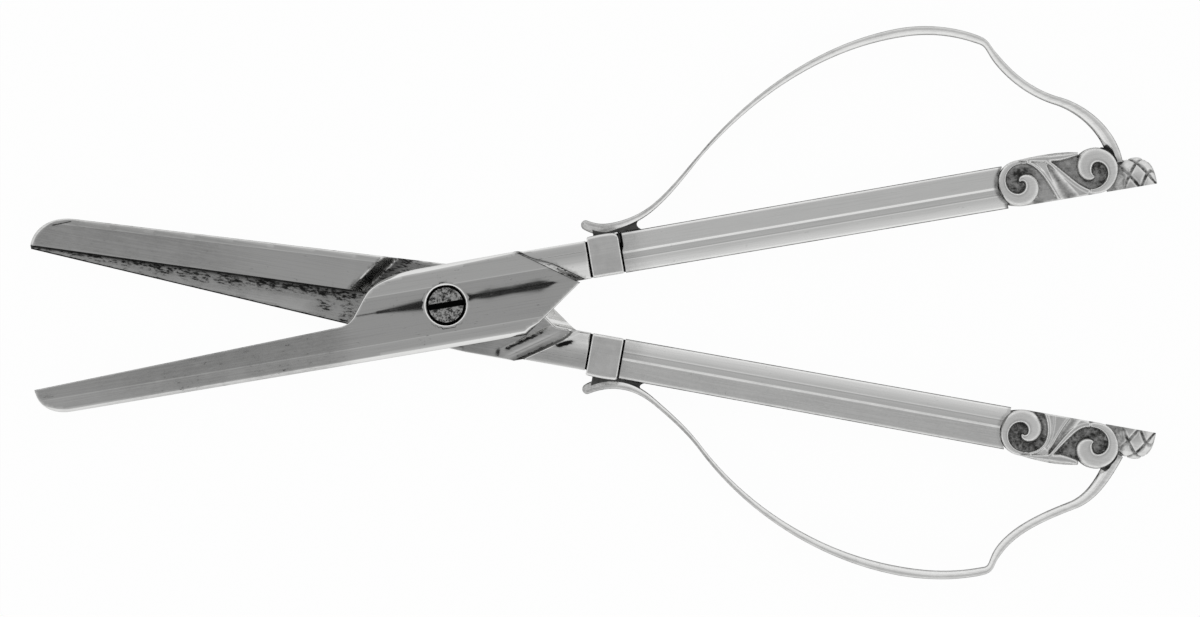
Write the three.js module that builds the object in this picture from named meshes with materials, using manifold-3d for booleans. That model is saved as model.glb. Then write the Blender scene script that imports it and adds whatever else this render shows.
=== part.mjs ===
// Silver grape shears: two halves that cross in a half-lap joint and turn on one screw.
// Sizes are millimetres. Each half is drawn in its own closed frame: x runs from the pivot along
// the handle, y across to the handle's outer side, and z from the shear plane to the joint plate.
// The lower half is turned over about x, so both halves share every shape but the blade.

import * as THREE from 'three';
import { mergeVertices } from 'three/addons/utils/BufferGeometryUtils.js';
import Module from 'manifold-3d';

// How the halves lie and run
const OPEN_ANGLE = 19.6; // degrees between the halves as they lie
const HALF_THICKNESS = 2.5; // shear plane to the flat backs of plates, collars and scrolls
const SHEAR_GAP = 0.1; // between the two plates
const NEST_GAP = 0.2; // between the halves where they nest when closed
const SEAT_GAP = 0.15; // between soldered pieces
const PIVOT_GAP = 0.1; // round the screw

// Joint plate
const PLATE_BACK = 6.1; // centre line to the straight back edge
const PLATE_FRONT_AT_PIVOT = 5.65; // upper plate's front edge
const PLATE_FRONT_SLOPE = 1.9; // degrees
const LOWER_PLATE_FRONT = 6.45; // lower plate's front edge
const ARROW_TIP = 20.4; // the plate's pointed end
const LOWER_ARROW_TRIM = 1.1; // the lower plate's point is ground back on its open side
const ARROW_ANGLE = 35; // degrees of each side of the point
const RAMP_RUN = 1.7; // how far the sloped nesting walls lean
const FRONT_BEVEL_LINE = 2.9; // where the plate's flat face ends on the handle side
const BACK_BEVEL_LINE = -4.3; // and on the blade's back side
const FRONT_BEVEL_FALL = 0.16; // drop per millimetre past each line
const BACK_BEVEL_FALL = 0.28;

// Blades
const BLADE_TIP = -63;
const BLADE_TIP_THICKNESS = 1.1; // shear plane to face
const EDGE_AT_PIVOT = -0.05; // cutting line, extended to the pivot
const EDGE_SLOPE = 2.1; // degrees
const TIP_ROUND = 5; // length of the rounded nose
const TIP_FULLNESS = 0.6; // how far the nose swells into its corner, as a share
const SHOULDER_X = -14.3; // where the plate's front shoulder crosses the centre line
const SHOULDER_ANGLE = 53; // degrees
const SHOULDER_EASE = 1.5; // rounding at the shoulder's top, along the shoulder
const SHOULDER_CREST = 2.5; // and along the plate
const SHOULDER_FILLET = 1; // rounding at its foot
const RAISED_BACK_STEP = 0.2; // lower blade's back inside the plate's back, at the pivot
const RAISED_BACK_SLOPE = 3.2; // degrees the lower blade's back closes in
const RAISED_BEVEL_LINE = -1.6; // where the raised back starts to fall
const RAISED_BEVEL_FALL = 0.12;
const FLANGE_STEP = 0.23; // lower blade's flange inside the lower plate's front, at the pivot
const FLANGE_SLOPE = 3.3; // degrees

// Pivot screw
const SCREW_HEAD_RADIUS = 2.65;
const SCREW_HEAD_THICKNESS = 1;
const SCREW_HEAD_SINK = 0.12; // below the plate's face
const SCREW_RADIUS = 1.4;
const SCREW_RING_GAP = 0.3; // dark ring round the head
const SCREW_SLOT_WIDTH = 0.8;
const SCREW_SLOT_DEPTH = 0.5;
const SCREW_SLOT_ANGLE = 1.3; // degrees off the half's own x

// Shank and tang
const INNER_EDGE = 0.3; // straight inner edge of shank, collar, handle, scroll and finial
const SHANK_REACH = 1.7; // past the plate's point
const SHANK_SET_IN = 0.45; // narrower than the collar
const SHANK_SINK = 0.5; // ridge below the plate's face
const SHANK_FALL = 0.5; // ridge to edges
const TANG_WIDTH = 2;
const TANG_THICKNESS = 1.2;
const TANG_GAP = 0.15;
const TANG_SETBACK = 18.5; // short of the core's rear end

// Collar
const COLLAR_LENGTH = 4.7;
const COLLAR_STEP = 0.15; // wider than the handle
const COLLAR_CROWN = 0.12; // barrel swell of the outer side
const COLLAR_CORNER = 0.8;
const COLLAR_CHAMFER = 0.35;
const COLLAR_GROOVE = 0.35; // dark line between shank and collar

// Handle
const HANDLE_GROOVE = 0.55; // collar to handle, filled by the lug's tongue
const HANDLE_HORNS = 1.05; // its rear corners, past the front of the volute
const HANDLE_FRONT_WIDTH = 6.05;
const HANDLE_REAR_WIDTH = 6.4;
const HANDLE_SINK = 0.2; // ridge below the collar's face
const HANDLE_FALL = 0.8; // ridge to edges
const HANDLE_HOLLOW = 0.16; // how deep the facets are dished
const HANDLE_WALL = 0.6;
const CORE_GAP = 0.2;
const CORE_SETBACK = 0.6; // core behind the handle's front end

// Scroll terminal
const SCROLL_RADIUS = 3.45; // both volutes
const FRONT_EYE = 88; // pivot to the front volute's eye
const EYE_SPACING = 11.4; // front eye to rear eye
const SCROLL_RELIEF = 0.8; // ribbon above its ground
const RIBBON_INNER_RADIUS = 0.85;
const RIBBON_WIDTH = 1.15;
const RIBBON_MARGIN = 0.125; // ribbon inside the volute's rim
const RIBBON_TURNS = 1.15;
const SPIGOT_LENGTH = 4; // plug in the hollow handle
const SPIGOT_WIDTH = 2.4;
const SPIGOT_THICKNESS = 1.6;

// Finial
const FINIAL_REACH = 9; // past the rear eye
const FINIAL_RADIUS = 4.55;
const FINIAL_NECK = 4.1; // radius at its base
const FINIAL_NOSE = 3.2; // length of its rounded end
const FINIAL_SINK = 0.2; // crest below the scroll's face

// Finger bow: where it is bent, and its heading there in degrees
const BOW_TAIL_LEAD = 0.1; // ahead of the collar
const BOW_TAIL_LIFT = 1.45; // above the foot
const BOW_TAIL_HEADING = -35;
const BOW_FOOT_SETBACK = 0.55; // ahead of the collar's rear end
const BOW_FOOT_GAP = 0.3; // over the collar's crown
const BOW_RISE_X = 41.3;
const BOW_RISE_Y = 15.9;
const BOW_RISE_HEADING = 38.5;
const BOW_CREST_X = 74;
const BOW_CREST_Y = 29;
const BOW_KINK_SETBACK = 12.6; // ahead of the rear eye
const BOW_KINK_Y = 25;
const BOW_KINK_ARRIVAL = -36.5;
const BOW_KINK_DEPARTURE = -81;
const BOW_WAIST_SETBACK = 3.5; // ahead of the rear eye
const BOW_WAIST_Y = 14.8;
const BOW_WAIST_HEADING = -29;
const BOW_LANDING_REACH = 3.7; // past the rear eye
const BOW_LANDING_SINK = 0.35; // below the finial's crest, before it is trimmed to it
const BOW_LANDING_HEADING = -76;
const LOWER_BOW_DROP = 1.45; // the lower bow is bent flatter at its rise and crest
const LOWER_WAIST_DROP = 0.4;
const LOWER_RISE_HEADING = 45;
const BOW_PULL = 0.34; // share of a stretch over which it keeps each end's heading

// Finger bow: thickness seen from above, and width in z
const BOW_TAIL_THICKNESS = 1.25;
const BOW_FOOT_THICKNESS = 1.1;
const BOW_RISE_THICKNESS = 0.72;
const BOW_CREST_THICKNESS = 1.34;
const BOW_WAIST_THICKNESS = 1.2;
const BOW_LANDING_THICKNESS = 2.2;
const BOW_TAIL_WIDTH = 2.6;
const BOW_FOOT_WIDTH = 3.4;
const BOW_RISE_WIDTH = 4;
const BOW_CREST_WIDTH = 3.2;
const BOW_STEPS = 8; // rings on each stretch
const BOW_SIDES = 10;

// Lug
const LUG_LENGTH = 3.2; // past the tongue
const LUG_THICKNESS = 2.6;
const LUG_TONGUE = 1.6; // depth between collar and handle

// Facets
const ROUND_SIDES = 32;
const CURVE_STEPS = 6;
const FAR = 12; // reach of cutting shapes past the plate

const wasm = await Module();
wasm.setup();

const radians = THREE.MathUtils.degToRad;
const at = (x, y) => new THREE.Vector2(x, y);

// Turns a closed geometry into a solid that can be joined and cut.
function solid(geometry) {
  geometry.deleteAttribute('normal');
  geometry.deleteAttribute('uv');
  const merged = mergeVertices(geometry, 1e-5);
  return new wasm.Manifold(new wasm.Mesh({
    numProp: 3,
    vertProperties: Float32Array.from(merged.attributes.position.array),
    triVerts: Uint32Array.from(merged.index.array),
  }));
}

// Turns a solid back into a geometry.
function geometryOf(body) {
  const { numProp, vertProperties, triVerts } = body.getMesh();
  const position = [];
  for (let i = 0; i < vertProperties.length; i += numProp) {
    position.push(vertProperties[i], vertProperties[i + 1], vertProperties[i + 2]);
  }
  const geometry = new THREE.BufferGeometry();
  geometry.setAttribute('position', new THREE.Float32BufferAttribute(position, 3));
  geometry.setIndex(Array.from(triVerts));
  geometry.computeVertexNormals();
  return geometry;
}

// Skins a row of sections, each a ring of 2-D points with the function that places them in space.
function loft(sections) {
  const count = sections[0].ring.length;
  const points = sections.flatMap(({ ring, place }) => ring.map(place));
  const faces = [];
  for (let s = 0; s + 1 < sections.length; s += 1) {
    for (let i = 0; i < count; i += 1) {
      const a = s * count + i;
      const b = s * count + ((i + 1) % count);
      faces.push([a, b, b + count], [a, b + count, a + count]);
    }
  }
  const last = (sections.length - 1) * count;
  const ends = [[sections[0].ring, 0, true], [sections.at(-1).ring, last, false]];
  const turning = Math.sign(THREE.ShapeUtils.area(sections[0].ring));
  for (const [ring, start, first] of ends) {
    for (const [a, b, c] of THREE.ShapeUtils.triangulateShape(ring, [])) {
      const face = [a + start, b + start, c + start];
      const same = Math.sign(THREE.ShapeUtils.area([ring[a], ring[b], ring[c]])) === turning;
      faces.push(same === first ? face.reverse() : face);
    }
  }
  const volume = faces.reduce((sum, [a, b, c]) => (
    sum + points[a].dot(new THREE.Vector3().crossVectors(points[b], points[c]))), 0);
  const index = faces.flatMap((face) => (volume < 0 ? [...face].reverse() : face));
  const geometry = new THREE.BufferGeometry();
  geometry.setAttribute('position', new THREE.Float32BufferAttribute(
    points.flatMap((p) => p.toArray()), 3));
  geometry.setIndex(index);
  return solid(geometry);
}

// Lofts between two plan outlines at two heights.
function prism(lower, upper, bottom, top) {
  return loft([
    { ring: lower, place: (p) => new THREE.Vector3(p.x, p.y, bottom) },
    { ring: upper, place: (p) => new THREE.Vector3(p.x, p.y, top) },
  ]);
}

// Lofts cross sections, drawn as (y, z), along x.
function barAlong(stations) {
  return loft(stations.map(({ x, ring }) => (
    { ring, place: (p) => new THREE.Vector3(x, p.x, p.y) })));
}

function box(low, high) {
  const size = new THREE.Vector3().subVectors(high, low);
  const middle = new THREE.Vector3().addVectors(low, high).multiplyScalar(0.5);
  const geometry = new THREE.BoxGeometry(size.x, size.y, size.z);
  return solid(geometry.translate(middle.x, middle.y, middle.z));
}

// A bar of square section about a centre line at (y, 0).
function bar(start, end, y, width, thickness) {
  return box(
    new THREE.Vector3(start, y - width / 2, -thickness / 2),
    new THREE.Vector3(end, y + width / 2, thickness / 2),
  );
}

function pillar(centre, radius, bottom, top) {
  const geometry = new THREE.CylinderGeometry(radius, radius, top - bottom, ROUND_SIDES);
  geometry.rotateX(Math.PI / 2).translate(centre.x, centre.y, (top + bottom) / 2);
  return solid(geometry);
}

function slab(shape, bottom, top) {
  const options = { depth: top - bottom, bevelEnabled: false, curveSegments: CURVE_STEPS };
  return solid(new THREE.ExtrudeGeometry(shape, options).translate(0, 0, bottom));
}

// A straight line in plan: a point and a direction.
const line = (point, degrees) => (
  { point, along: at(Math.cos(radians(degrees)), Math.sin(radians(degrees))) });
const onLine = ({ point, along }, distance) => point.clone().addScaledVector(along, distance);

function crossing(first, second) {
  const gap = new THREE.Vector2().subVectors(second.point, first.point);
  return onLine(first, gap.cross(second.along) / first.along.cross(second.along));
}

const mirrored = (p) => at(p.x, -p.y);
const shifted = (p, x) => at(p.x + x, p.y);

// Sizes that follow from the ones above
const PIVOT = at(0, 0);
const PLATE_FLOOR = SHEAR_GAP / 2;
const FACE = HALF_THICKNESS;
const ARROW_RUN = RAMP_RUN / Math.sin(radians(ARROW_ANGLE));
const ARROW_GAP = NEST_GAP / Math.sin(radians(ARROW_ANGLE));
const SHOULDER_RUN = RAMP_RUN / Math.sin(radians(SHOULDER_ANGLE));
const SHOULDER_GAP = NEST_GAP / Math.sin(radians(SHOULDER_ANGLE));
const CUTTING_LINE = line(at(0, EDGE_AT_PIVOT), EDGE_SLOPE);
const STEP_LINE = line(at(0, -EDGE_AT_PIVOT - NEST_GAP), -EDGE_SLOPE);
const SHOULDER_LINE = line(at(SHOULDER_X, 0), SHOULDER_ANGLE);
const BLADE_BACK = line(at(0, -PLATE_BACK), 0);
const UPPER_FRONT = line(at(0, PLATE_FRONT_AT_PIVOT), PLATE_FRONT_SLOPE);
const LOWER_FRONT = line(at(0, LOWER_PLATE_FRONT), 0);
const RAISED_BACK = line(at(0, RAISED_BACK_STEP - PLATE_BACK), -RAISED_BACK_SLOPE);
const FLANGE_EDGE = line(at(0, LOWER_PLATE_FRONT - FLANGE_STEP), FLANGE_SLOPE);
const TIP_LINE = line(at(BLADE_TIP, 0), 90);
const NOSE_LINE = line(at(BLADE_TIP + TIP_ROUND, 0), 90);

const SHANK_END = ARROW_TIP + SHANK_REACH;
const COLLAR_START = SHANK_END + COLLAR_GROOVE;
const COLLAR_END = COLLAR_START + COLLAR_LENGTH;
const COLLAR_OUTER = INNER_EDGE + HANDLE_FRONT_WIDTH + COLLAR_STEP;
const SHANK_OUTER = COLLAR_OUTER - SHANK_SET_IN;
const SHANK_RIDGE = HALF_THICKNESS - SHANK_SINK;
const SHANK_RIM = SHANK_RIDGE - SHANK_FALL;
const HANDLE_START = COLLAR_END + HANDLE_GROOVE;
const HANDLE_END = FRONT_EYE - SCROLL_RADIUS + HANDLE_HORNS;
const HANDLE_AXIS = INNER_EDGE + HANDLE_FRONT_WIDTH / 2;
const HANDLE_RIDGE = HALF_THICKNESS - HANDLE_SINK; // half thickness
const HANDLE_RIM = HANDLE_RIDGE - HANDLE_FALL;
const CORE_END = FRONT_EYE - SCROLL_RADIUS - SPIGOT_LENGTH;
const TANG_END = CORE_END - TANG_SETBACK;
const REAR_EYE = FRONT_EYE + EYE_SPACING;
const SCROLL_AXIS = INNER_EDGE + SCROLL_RADIUS;
const SCROLL_GROUND = HALF_THICKNESS - SCROLL_RELIEF;
const RIBBON_OUTER_RADIUS = SCROLL_RADIUS - RIBBON_MARGIN - RIBBON_WIDTH / 2;
const FRONT_VOLUTE = at(FRONT_EYE, SCROLL_AXIS);
const REAR_VOLUTE = at(REAR_EYE, SCROLL_AXIS);
const FINIAL_END = REAR_EYE + FINIAL_REACH;
const FINIAL_CREST = INNER_EDGE + FINIAL_RADIUS;
const BOW_FOOT = at(
  COLLAR_END - BOW_FOOT_SETBACK,
  COLLAR_OUTER + COLLAR_CROWN + BOW_FOOT_GAP + BOW_FOOT_THICKNESS / 2,
);
const BOW_TAIL = at(COLLAR_START - BOW_TAIL_LEAD, BOW_FOOT.y + BOW_TAIL_LIFT);
const BOW_KINK = at(REAR_EYE - BOW_KINK_SETBACK, BOW_KINK_Y);
const BOW_LANDING = at(REAR_EYE + BOW_LANDING_REACH, FINIAL_CREST - BOW_LANDING_SINK);

// The point of the plate, from its back corner round to its front corner. A run sets back the side
// that nests against the other half.
const arrow = (run, front) => [
  crossing(line(at(ARROW_TIP - run, 0), ARROW_ANGLE), BLADE_BACK),
  at(ARROW_TIP - run, 0),
  crossing(line(at(ARROW_TIP, 0), -ARROW_ANGLE), front),
];

// A blade's nose, from the edge at the tip round to the back.
function nose(edge, back) {
  const start = crossing(edge, TIP_LINE);
  const end = crossing(back, NOSE_LINE);
  const corner = crossing(back, TIP_LINE);
  return new THREE.CubicBezierCurve(
    start, start.clone().lerp(corner, TIP_FULLNESS), end.clone().lerp(corner, TIP_FULLNESS), end,
  ).getPoints(CURVE_STEPS);
}

// Outline of the plain blade and its plate. A run sets back the two walls that nest when closed.
function plainOutline(shoulderRun, arrowRun) {
  const shoulder = line(shifted(SHOULDER_LINE.point, shoulderRun), SHOULDER_ANGLE);
  const crest = crossing(shoulder, UPPER_FRONT);
  const foot = crossing(shoulder, CUTTING_LINE);
  const ease = new THREE.QuadraticBezierCurve(
    onLine(line(crest, PLATE_FRONT_SLOPE), SHOULDER_CREST), crest,
    onLine(line(crest, SHOULDER_ANGLE), -SHOULDER_EASE));
  const fillet = new THREE.QuadraticBezierCurve(
    onLine(line(foot, SHOULDER_ANGLE), SHOULDER_FILLET), foot,
    onLine(line(foot, EDGE_SLOPE), -SHOULDER_FILLET));
  return [
    ...nose(CUTTING_LINE, BLADE_BACK),
    ...arrow(arrowRun, UPPER_FRONT),
    ...ease.getPoints(CURVE_STEPS),
    ...fillet.getPoints(CURVE_STEPS),
  ];
}

// Outline of the lower blade's floor: flange and plate in one.
function flangedOutline(arrowRun) {
  return [
    ...nose(STEP_LINE, RAISED_BACK),
    crossing(RAISED_BACK, BLADE_BACK),
    ...arrow(arrowRun, LOWER_FRONT),
    crossing(FLANGE_EDGE, LOWER_FRONT),
    crossing(FLANGE_EDGE, line(at(BLADE_TIP + NEST_GAP, 0), 90)),
  ];
}

// Outline of the raised back, up to the sloped wall that meets the plain blade's shoulder.
function raisedOutline(run) {
  const wall = line(shifted(mirrored(SHOULDER_LINE.point), run - SHOULDER_GAP), -SHOULDER_ANGLE);
  return [
    ...nose(STEP_LINE, RAISED_BACK),
    crossing(wall, RAISED_BACK),
    crossing(wall, STEP_LINE),
  ];
}

// The faces that crown a blade and its plate: a flat between two bevels, thinning to the tip.
function crown(bevels) {
  const tall = (x) => (x < SHOULDER_X ? BLADE_TIP_THICKNESS : FACE);
  return barAlong([BLADE_TIP, SHOULDER_X, ARROW_TIP].map((x) => ({
    x,
    ring: [at(-FAR, -FAR), at(FAR, -FAR), ...bevels(tall(x))],
  })));
}

const plateBevels = (height) => [
  at(FAR, height - FRONT_BEVEL_FALL * (FAR - FRONT_BEVEL_LINE)),
  at(FRONT_BEVEL_LINE, height),
  at(BACK_BEVEL_LINE, height),
  at(-FAR, height - BACK_BEVEL_FALL * (FAR + BACK_BEVEL_LINE)),
];

const raisedBevels = (height) => [
  at(FAR, height),
  at(RAISED_BEVEL_LINE, height),
  at(-FAR, height - RAISED_BEVEL_FALL * (FAR + RAISED_BEVEL_LINE)),
];

const turnedDown = (body) => body.scale([1, 1, -1]);

// The shank: a bar with a ridge along both faces, whose hidden end slopes to nest the other plate.
function shank() {
  const middle = (INNER_EDGE + SHANK_OUTER) / 2;
  const ring = [
    at(INNER_EDGE, -SHANK_RIM), at(middle, -SHANK_RIDGE), at(SHANK_OUTER, -SHANK_RIM),
    at(SHANK_OUTER, SHANK_RIM), at(middle, SHANK_RIDGE), at(INNER_EDGE, SHANK_RIM),
  ];
  const bevelled = barAlong([{ x: 0, ring }, { x: SHANK_END, ring }]);
  const side = (run) => [
    at(ARROW_TIP + FAR, -FAR / 2), at(ARROW_TIP + FAR, FAR),
    onLine(line(at(ARROW_TIP + run, 0), 180 - ARROW_ANGLE), FAR),
    onLine(line(at(ARROW_TIP + run, 0), -ARROW_ANGLE), FAR / 2),
  ];
  const sloped = prism(side(ARROW_GAP), side(ARROW_GAP - 2 * ARROW_RUN), -FACE, FACE);
  return bevelled.intersect(sloped);
}

const tang = () => bar(SHANK_END - TANG_WIDTH, TANG_END, HANDLE_AXIS, TANG_WIDTH, TANG_THICKNESS);

// The slot that a tang slides in.
const tangSlot = () => bar(
  0, TANG_END + CORE_GAP, HANDLE_AXIS, TANG_WIDTH + 2 * TANG_GAP, TANG_THICKNESS + 2 * TANG_GAP);

const pivotHole = () => pillar(PIVOT, SCREW_RADIUS + PIVOT_GAP, -FAR, FAR);

function upperBlade() {
  const floor = prism(plainOutline(SHOULDER_RUN, ARROW_RUN), plainOutline(0, 0), PLATE_FLOOR, FACE);
  const seat = FACE - SCREW_HEAD_SINK - SCREW_HEAD_THICKNESS - PIVOT_GAP;
  const counterbore = pillar(PIVOT, SCREW_HEAD_RADIUS + SCREW_RING_GAP, seat, FAR);
  return floor.intersect(crown(plateBevels)).add(shank()).add(tang())
    .subtract(pivotHole()).subtract(counterbore);
}

function lowerBlade() {
  const floor = prism(
    flangedOutline(LOWER_ARROW_TRIM + ARROW_RUN), flangedOutline(LOWER_ARROW_TRIM), PLATE_FLOOR, FACE);
  const back = prism(raisedOutline(0), raisedOutline(2 * SHOULDER_RUN), -FACE, FACE);
  const raised = back.intersect(turnedDown(crown(raisedBevels))).intersect(crown(plateBevels));
  return floor.intersect(crown(plateBevels)).add(raised).add(shank()).add(tang()).subtract(pivotHole());
}

// The screw is drawn in the upper half's frame: head in the upper plate, tail flush with the lower.
function pivotScrew() {
  const top = FACE - SCREW_HEAD_SINK;
  const head = pillar(PIVOT, SCREW_HEAD_RADIUS, top - SCREW_HEAD_THICKNESS, top);
  const slot = box(
    new THREE.Vector3(-FAR, -SCREW_SLOT_WIDTH / 2, top - SCREW_SLOT_DEPTH),
    new THREE.Vector3(FAR, SCREW_SLOT_WIDTH / 2, FAR),
  ).rotate([0, 0, SCREW_SLOT_ANGLE]);
  return head.add(pillar(PIVOT, SCREW_RADIUS, -FACE, top - SCREW_SLOT_DEPTH)).subtract(slot);
}

// A rectangle with round corners, drawn as (y, z).
function cushion(inner, outer, half, corner) {
  const shape = new THREE.Shape();
  const low = inner + corner;
  const high = outer - corner;
  const tall = half - corner;
  shape.absarc(high, tall, corner, 0, Math.PI / 2);
  shape.absarc(low, tall, corner, Math.PI / 2, Math.PI);
  shape.absarc(low, -tall, corner, Math.PI, Math.PI * 1.5);
  shape.absarc(high, -tall, corner, Math.PI * 1.5, Math.PI * 2);
  return shape.getPoints(CURVE_STEPS / 2).slice(0, -1);
}

function collar() {
  const end = (x) => ({
    x,
    ring: cushion(
      INNER_EDGE + COLLAR_CHAMFER, COLLAR_OUTER - COLLAR_CHAMFER, FACE - COLLAR_CHAMFER, COLLAR_CORNER),
  });
  const body = (x, swell) => ({ x, ring: cushion(INNER_EDGE, COLLAR_OUTER + swell, FACE, COLLAR_CORNER) });
  const barrel = barAlong([
    end(COLLAR_START),
    body(COLLAR_START + COLLAR_CHAMFER, 0),
    body((COLLAR_START + COLLAR_END) / 2, COLLAR_CROWN),
    body(COLLAR_END - COLLAR_CHAMFER, 0),
    end(COLLAR_END),
  ]);
  return barrel.subtract(tangSlot());
}

// Half of the handle's section above the seam, drawn as (y, z): dished facets fall from a ridge.
function handleSection(width) {
  const outer = INNER_EDGE + width;
  const middle = (INNER_EDGE + outer) / 2;
  const half = width / 2;
  const seam = SHEAR_GAP / 2;
  const facet = [1, 0.75, 0.5, 0.25].map((share) => {
    const reach = share * (half - HANDLE_WALL / 2);
    const fall = (HANDLE_RIDGE - HANDLE_RIM) * share;
    const dish = HANDLE_HOLLOW * 4 * share * (1 - share);
    return at(reach, HANDLE_RIDGE - fall - dish);
  });
  const front = [at(half, seam), at(half, HANDLE_RIM - HANDLE_WALL / 2), ...facet];
  const skin = [
    ...front.map((p) => at(middle + p.x, p.y)),
    at(middle, HANDLE_RIDGE),
    ...front.toReversed().map((p) => at(middle - p.x, p.y)),
  ];
  const lining = [-1, 1].flatMap((side) => {
    const wall = at(middle + side * (half - HANDLE_WALL), seam);
    const knee = at(middle + side * (half - 2 * HANDLE_WALL), HANDLE_RIM - HANDLE_WALL);
    return side < 0 ? [wall, knee, at(middle, HANDLE_RIDGE - HANDLE_WALL)] : [knee, wall];
  });
  return [...skin, ...lining];
}

const voluteSeat = (centre) => pillar(centre, SCROLL_RADIUS + SEAT_GAP, -FAR, FAR);

function handleShell() {
  const bare = barAlong([
    { x: HANDLE_START, ring: handleSection(HANDLE_FRONT_WIDTH) },
    { x: HANDLE_END, ring: handleSection(HANDLE_REAR_WIDTH) },
  ]);
  return bare.subtract(voluteSeat(FRONT_VOLUTE));
}

// The cement that fills the shells round the tang.
function handleCore() {
  const half = HANDLE_FRONT_WIDTH / 2 - HANDLE_WALL - CORE_GAP;
  const knee = half - HANDLE_WALL;
  const rim = HANDLE_RIM - HANDLE_WALL - CORE_GAP;
  const ridge = HANDLE_RIDGE - HANDLE_WALL - CORE_GAP;
  const ring = [
    at(half, 0), at(knee, rim), at(0, ridge), at(-knee, rim),
    at(-half, 0), at(-knee, -rim), at(0, -ridge), at(knee, -rim),
  ].map((p) => at(p.x + HANDLE_AXIS, p.y));
  const block = barAlong([{ x: HANDLE_START + CORE_SETBACK, ring }, { x: CORE_END, ring }]);
  return block.subtract(tangSlot());
}

// Centre line of the ribbon's front half: a spiral that unrolls towards the middle of the terminal.
function ribbonHalf() {
  const exit = Math.PI / 2 - Math.asin(2 * RIBBON_OUTER_RADIUS / (REAR_EYE - FRONT_EYE));
  const turn = RIBBON_TURNS * Math.PI * 2;
  const steps = Math.round(RIBBON_TURNS * ROUND_SIDES * 0.75);
  const points = [];
  for (let i = 0; i <= steps; i += 1) {
    const share = i / steps;
    const radius = THREE.MathUtils.lerp(RIBBON_INNER_RADIUS, RIBBON_OUTER_RADIUS, share);
    const angle = exit + turn * (1 - share);
    points.push(at(Math.cos(angle), Math.sin(angle)).multiplyScalar(radius).add(FRONT_VOLUTE));
  }
  return points;
}

// The S-shaped ribbon: the front half and the same half turned about the terminal's middle.
function ribbonShape() {
  const middle = FRONT_VOLUTE.clone().lerp(REAR_VOLUTE, 0.5);
  const half = ribbonHalf();
  const path = [...half, ...half.toReversed().map((p) => middle.clone().multiplyScalar(2).sub(p))];
  const sides = [-1, 1].map((side) => path.map((p, i) => {
    const before = path[Math.max(i - 1, 0)];
    const after = path[Math.min(i + 1, path.length - 1)];
    const along = after.clone().sub(before).normalize();
    return at(-along.y, along.x).multiplyScalar(side * RIBBON_WIDTH / 2).add(p);
  }));
  return new THREE.Shape([...sides[0], ...sides[1].toReversed()]);
}

function scrollTerminal() {
  const outline = new THREE.Shape();
  outline.absarc(FRONT_VOLUTE.x, FRONT_VOLUTE.y, SCROLL_RADIUS, Math.PI / 2, Math.PI * 1.5);
  outline.absarc(REAR_VOLUTE.x, REAR_VOLUTE.y, SCROLL_RADIUS, -Math.PI / 2, Math.PI / 2);
  const ground = slab(outline, -SCROLL_GROUND, SCROLL_GROUND);
  const ribbon = slab(ribbonShape(), -FACE, FACE);
  const spigot = bar(CORE_END + CORE_GAP, FRONT_EYE, HANDLE_AXIS, SPIGOT_WIDTH, SPIGOT_THICKNESS);
  return ground.add(ribbon).add(spigot);
}

// Half of a bud, turned about the inner edge and flattened in thickness.
function finial() {
  const base = REAR_EYE + SCROLL_RADIUS / 2;
  const length = FINIAL_END - base;
  const profile = new THREE.Path();
  profile.moveTo(0, 0);
  profile.lineTo(FINIAL_NECK, 0);
  profile.quadraticCurveTo(FINIAL_RADIUS, 0, FINIAL_RADIUS, length - FINIAL_NOSE);
  profile.absellipse(0, length - FINIAL_NOSE, FINIAL_RADIUS, FINIAL_NOSE, 0, Math.PI / 2);
  const turned = new THREE.LatheGeometry(profile.getPoints(CURVE_STEPS), ROUND_SIDES / 2);
  turned.rotateZ(-Math.PI / 2).scale(1, 1, (HALF_THICKNESS - FINIAL_SINK) / FINIAL_RADIUS);
  const bud = solid(turned.translate(base, INNER_EDGE, 0));
  const half = box(
    new THREE.Vector3(base - FAR, INNER_EDGE, -FAR),
    new THREE.Vector3(FINIAL_END + FAR, INNER_EDGE + FAR, FAR),
  );
  return bud.intersect(half).subtract(voluteSeat(REAR_VOLUTE));
}

// A bend of the bow: where it is, how the bow arrives and leaves, and its thickness and width.
const bend = (point, arrival, departure, thickness, width) => (
  { point, arrival, departure, section: at(thickness / 2, width / 2) });

function bowBends({ riseHeading, drop, waistDrop }) {
  const rise = at(BOW_RISE_X, BOW_RISE_Y - drop);
  const crest = at(BOW_CREST_X, BOW_CREST_Y - drop);
  const waist = at(REAR_EYE - BOW_WAIST_SETBACK, BOW_WAIST_Y - waistDrop);
  return [
    bend(BOW_TAIL, 0, BOW_TAIL_HEADING, BOW_TAIL_THICKNESS, BOW_TAIL_WIDTH),
    bend(BOW_FOOT, 0, 0, BOW_FOOT_THICKNESS, BOW_FOOT_WIDTH),
    bend(rise, riseHeading, riseHeading, BOW_RISE_THICKNESS, BOW_RISE_WIDTH),
    bend(crest, 0, 0, BOW_CREST_THICKNESS, BOW_CREST_WIDTH),
    bend(BOW_KINK, BOW_KINK_ARRIVAL, BOW_KINK_DEPARTURE, BOW_WAIST_THICKNESS, BOW_CREST_WIDTH),
    bend(waist, BOW_WAIST_HEADING, BOW_WAIST_HEADING, BOW_WAIST_THICKNESS, BOW_CREST_WIDTH),
    bend(BOW_LANDING, BOW_LANDING_HEADING, 0, BOW_LANDING_THICKNESS, BOW_FOOT_WIDTH),
  ];
}

// The curve from one bend to the next.
function bowStretch(from, to) {
  const pull = BOW_PULL * from.point.distanceTo(to.point);
  return new THREE.CubicBezierCurve(
    from.point, onLine(line(from.point, from.departure), pull),
    onLine(line(to.point, to.arrival), -pull), to.point);
}

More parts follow.
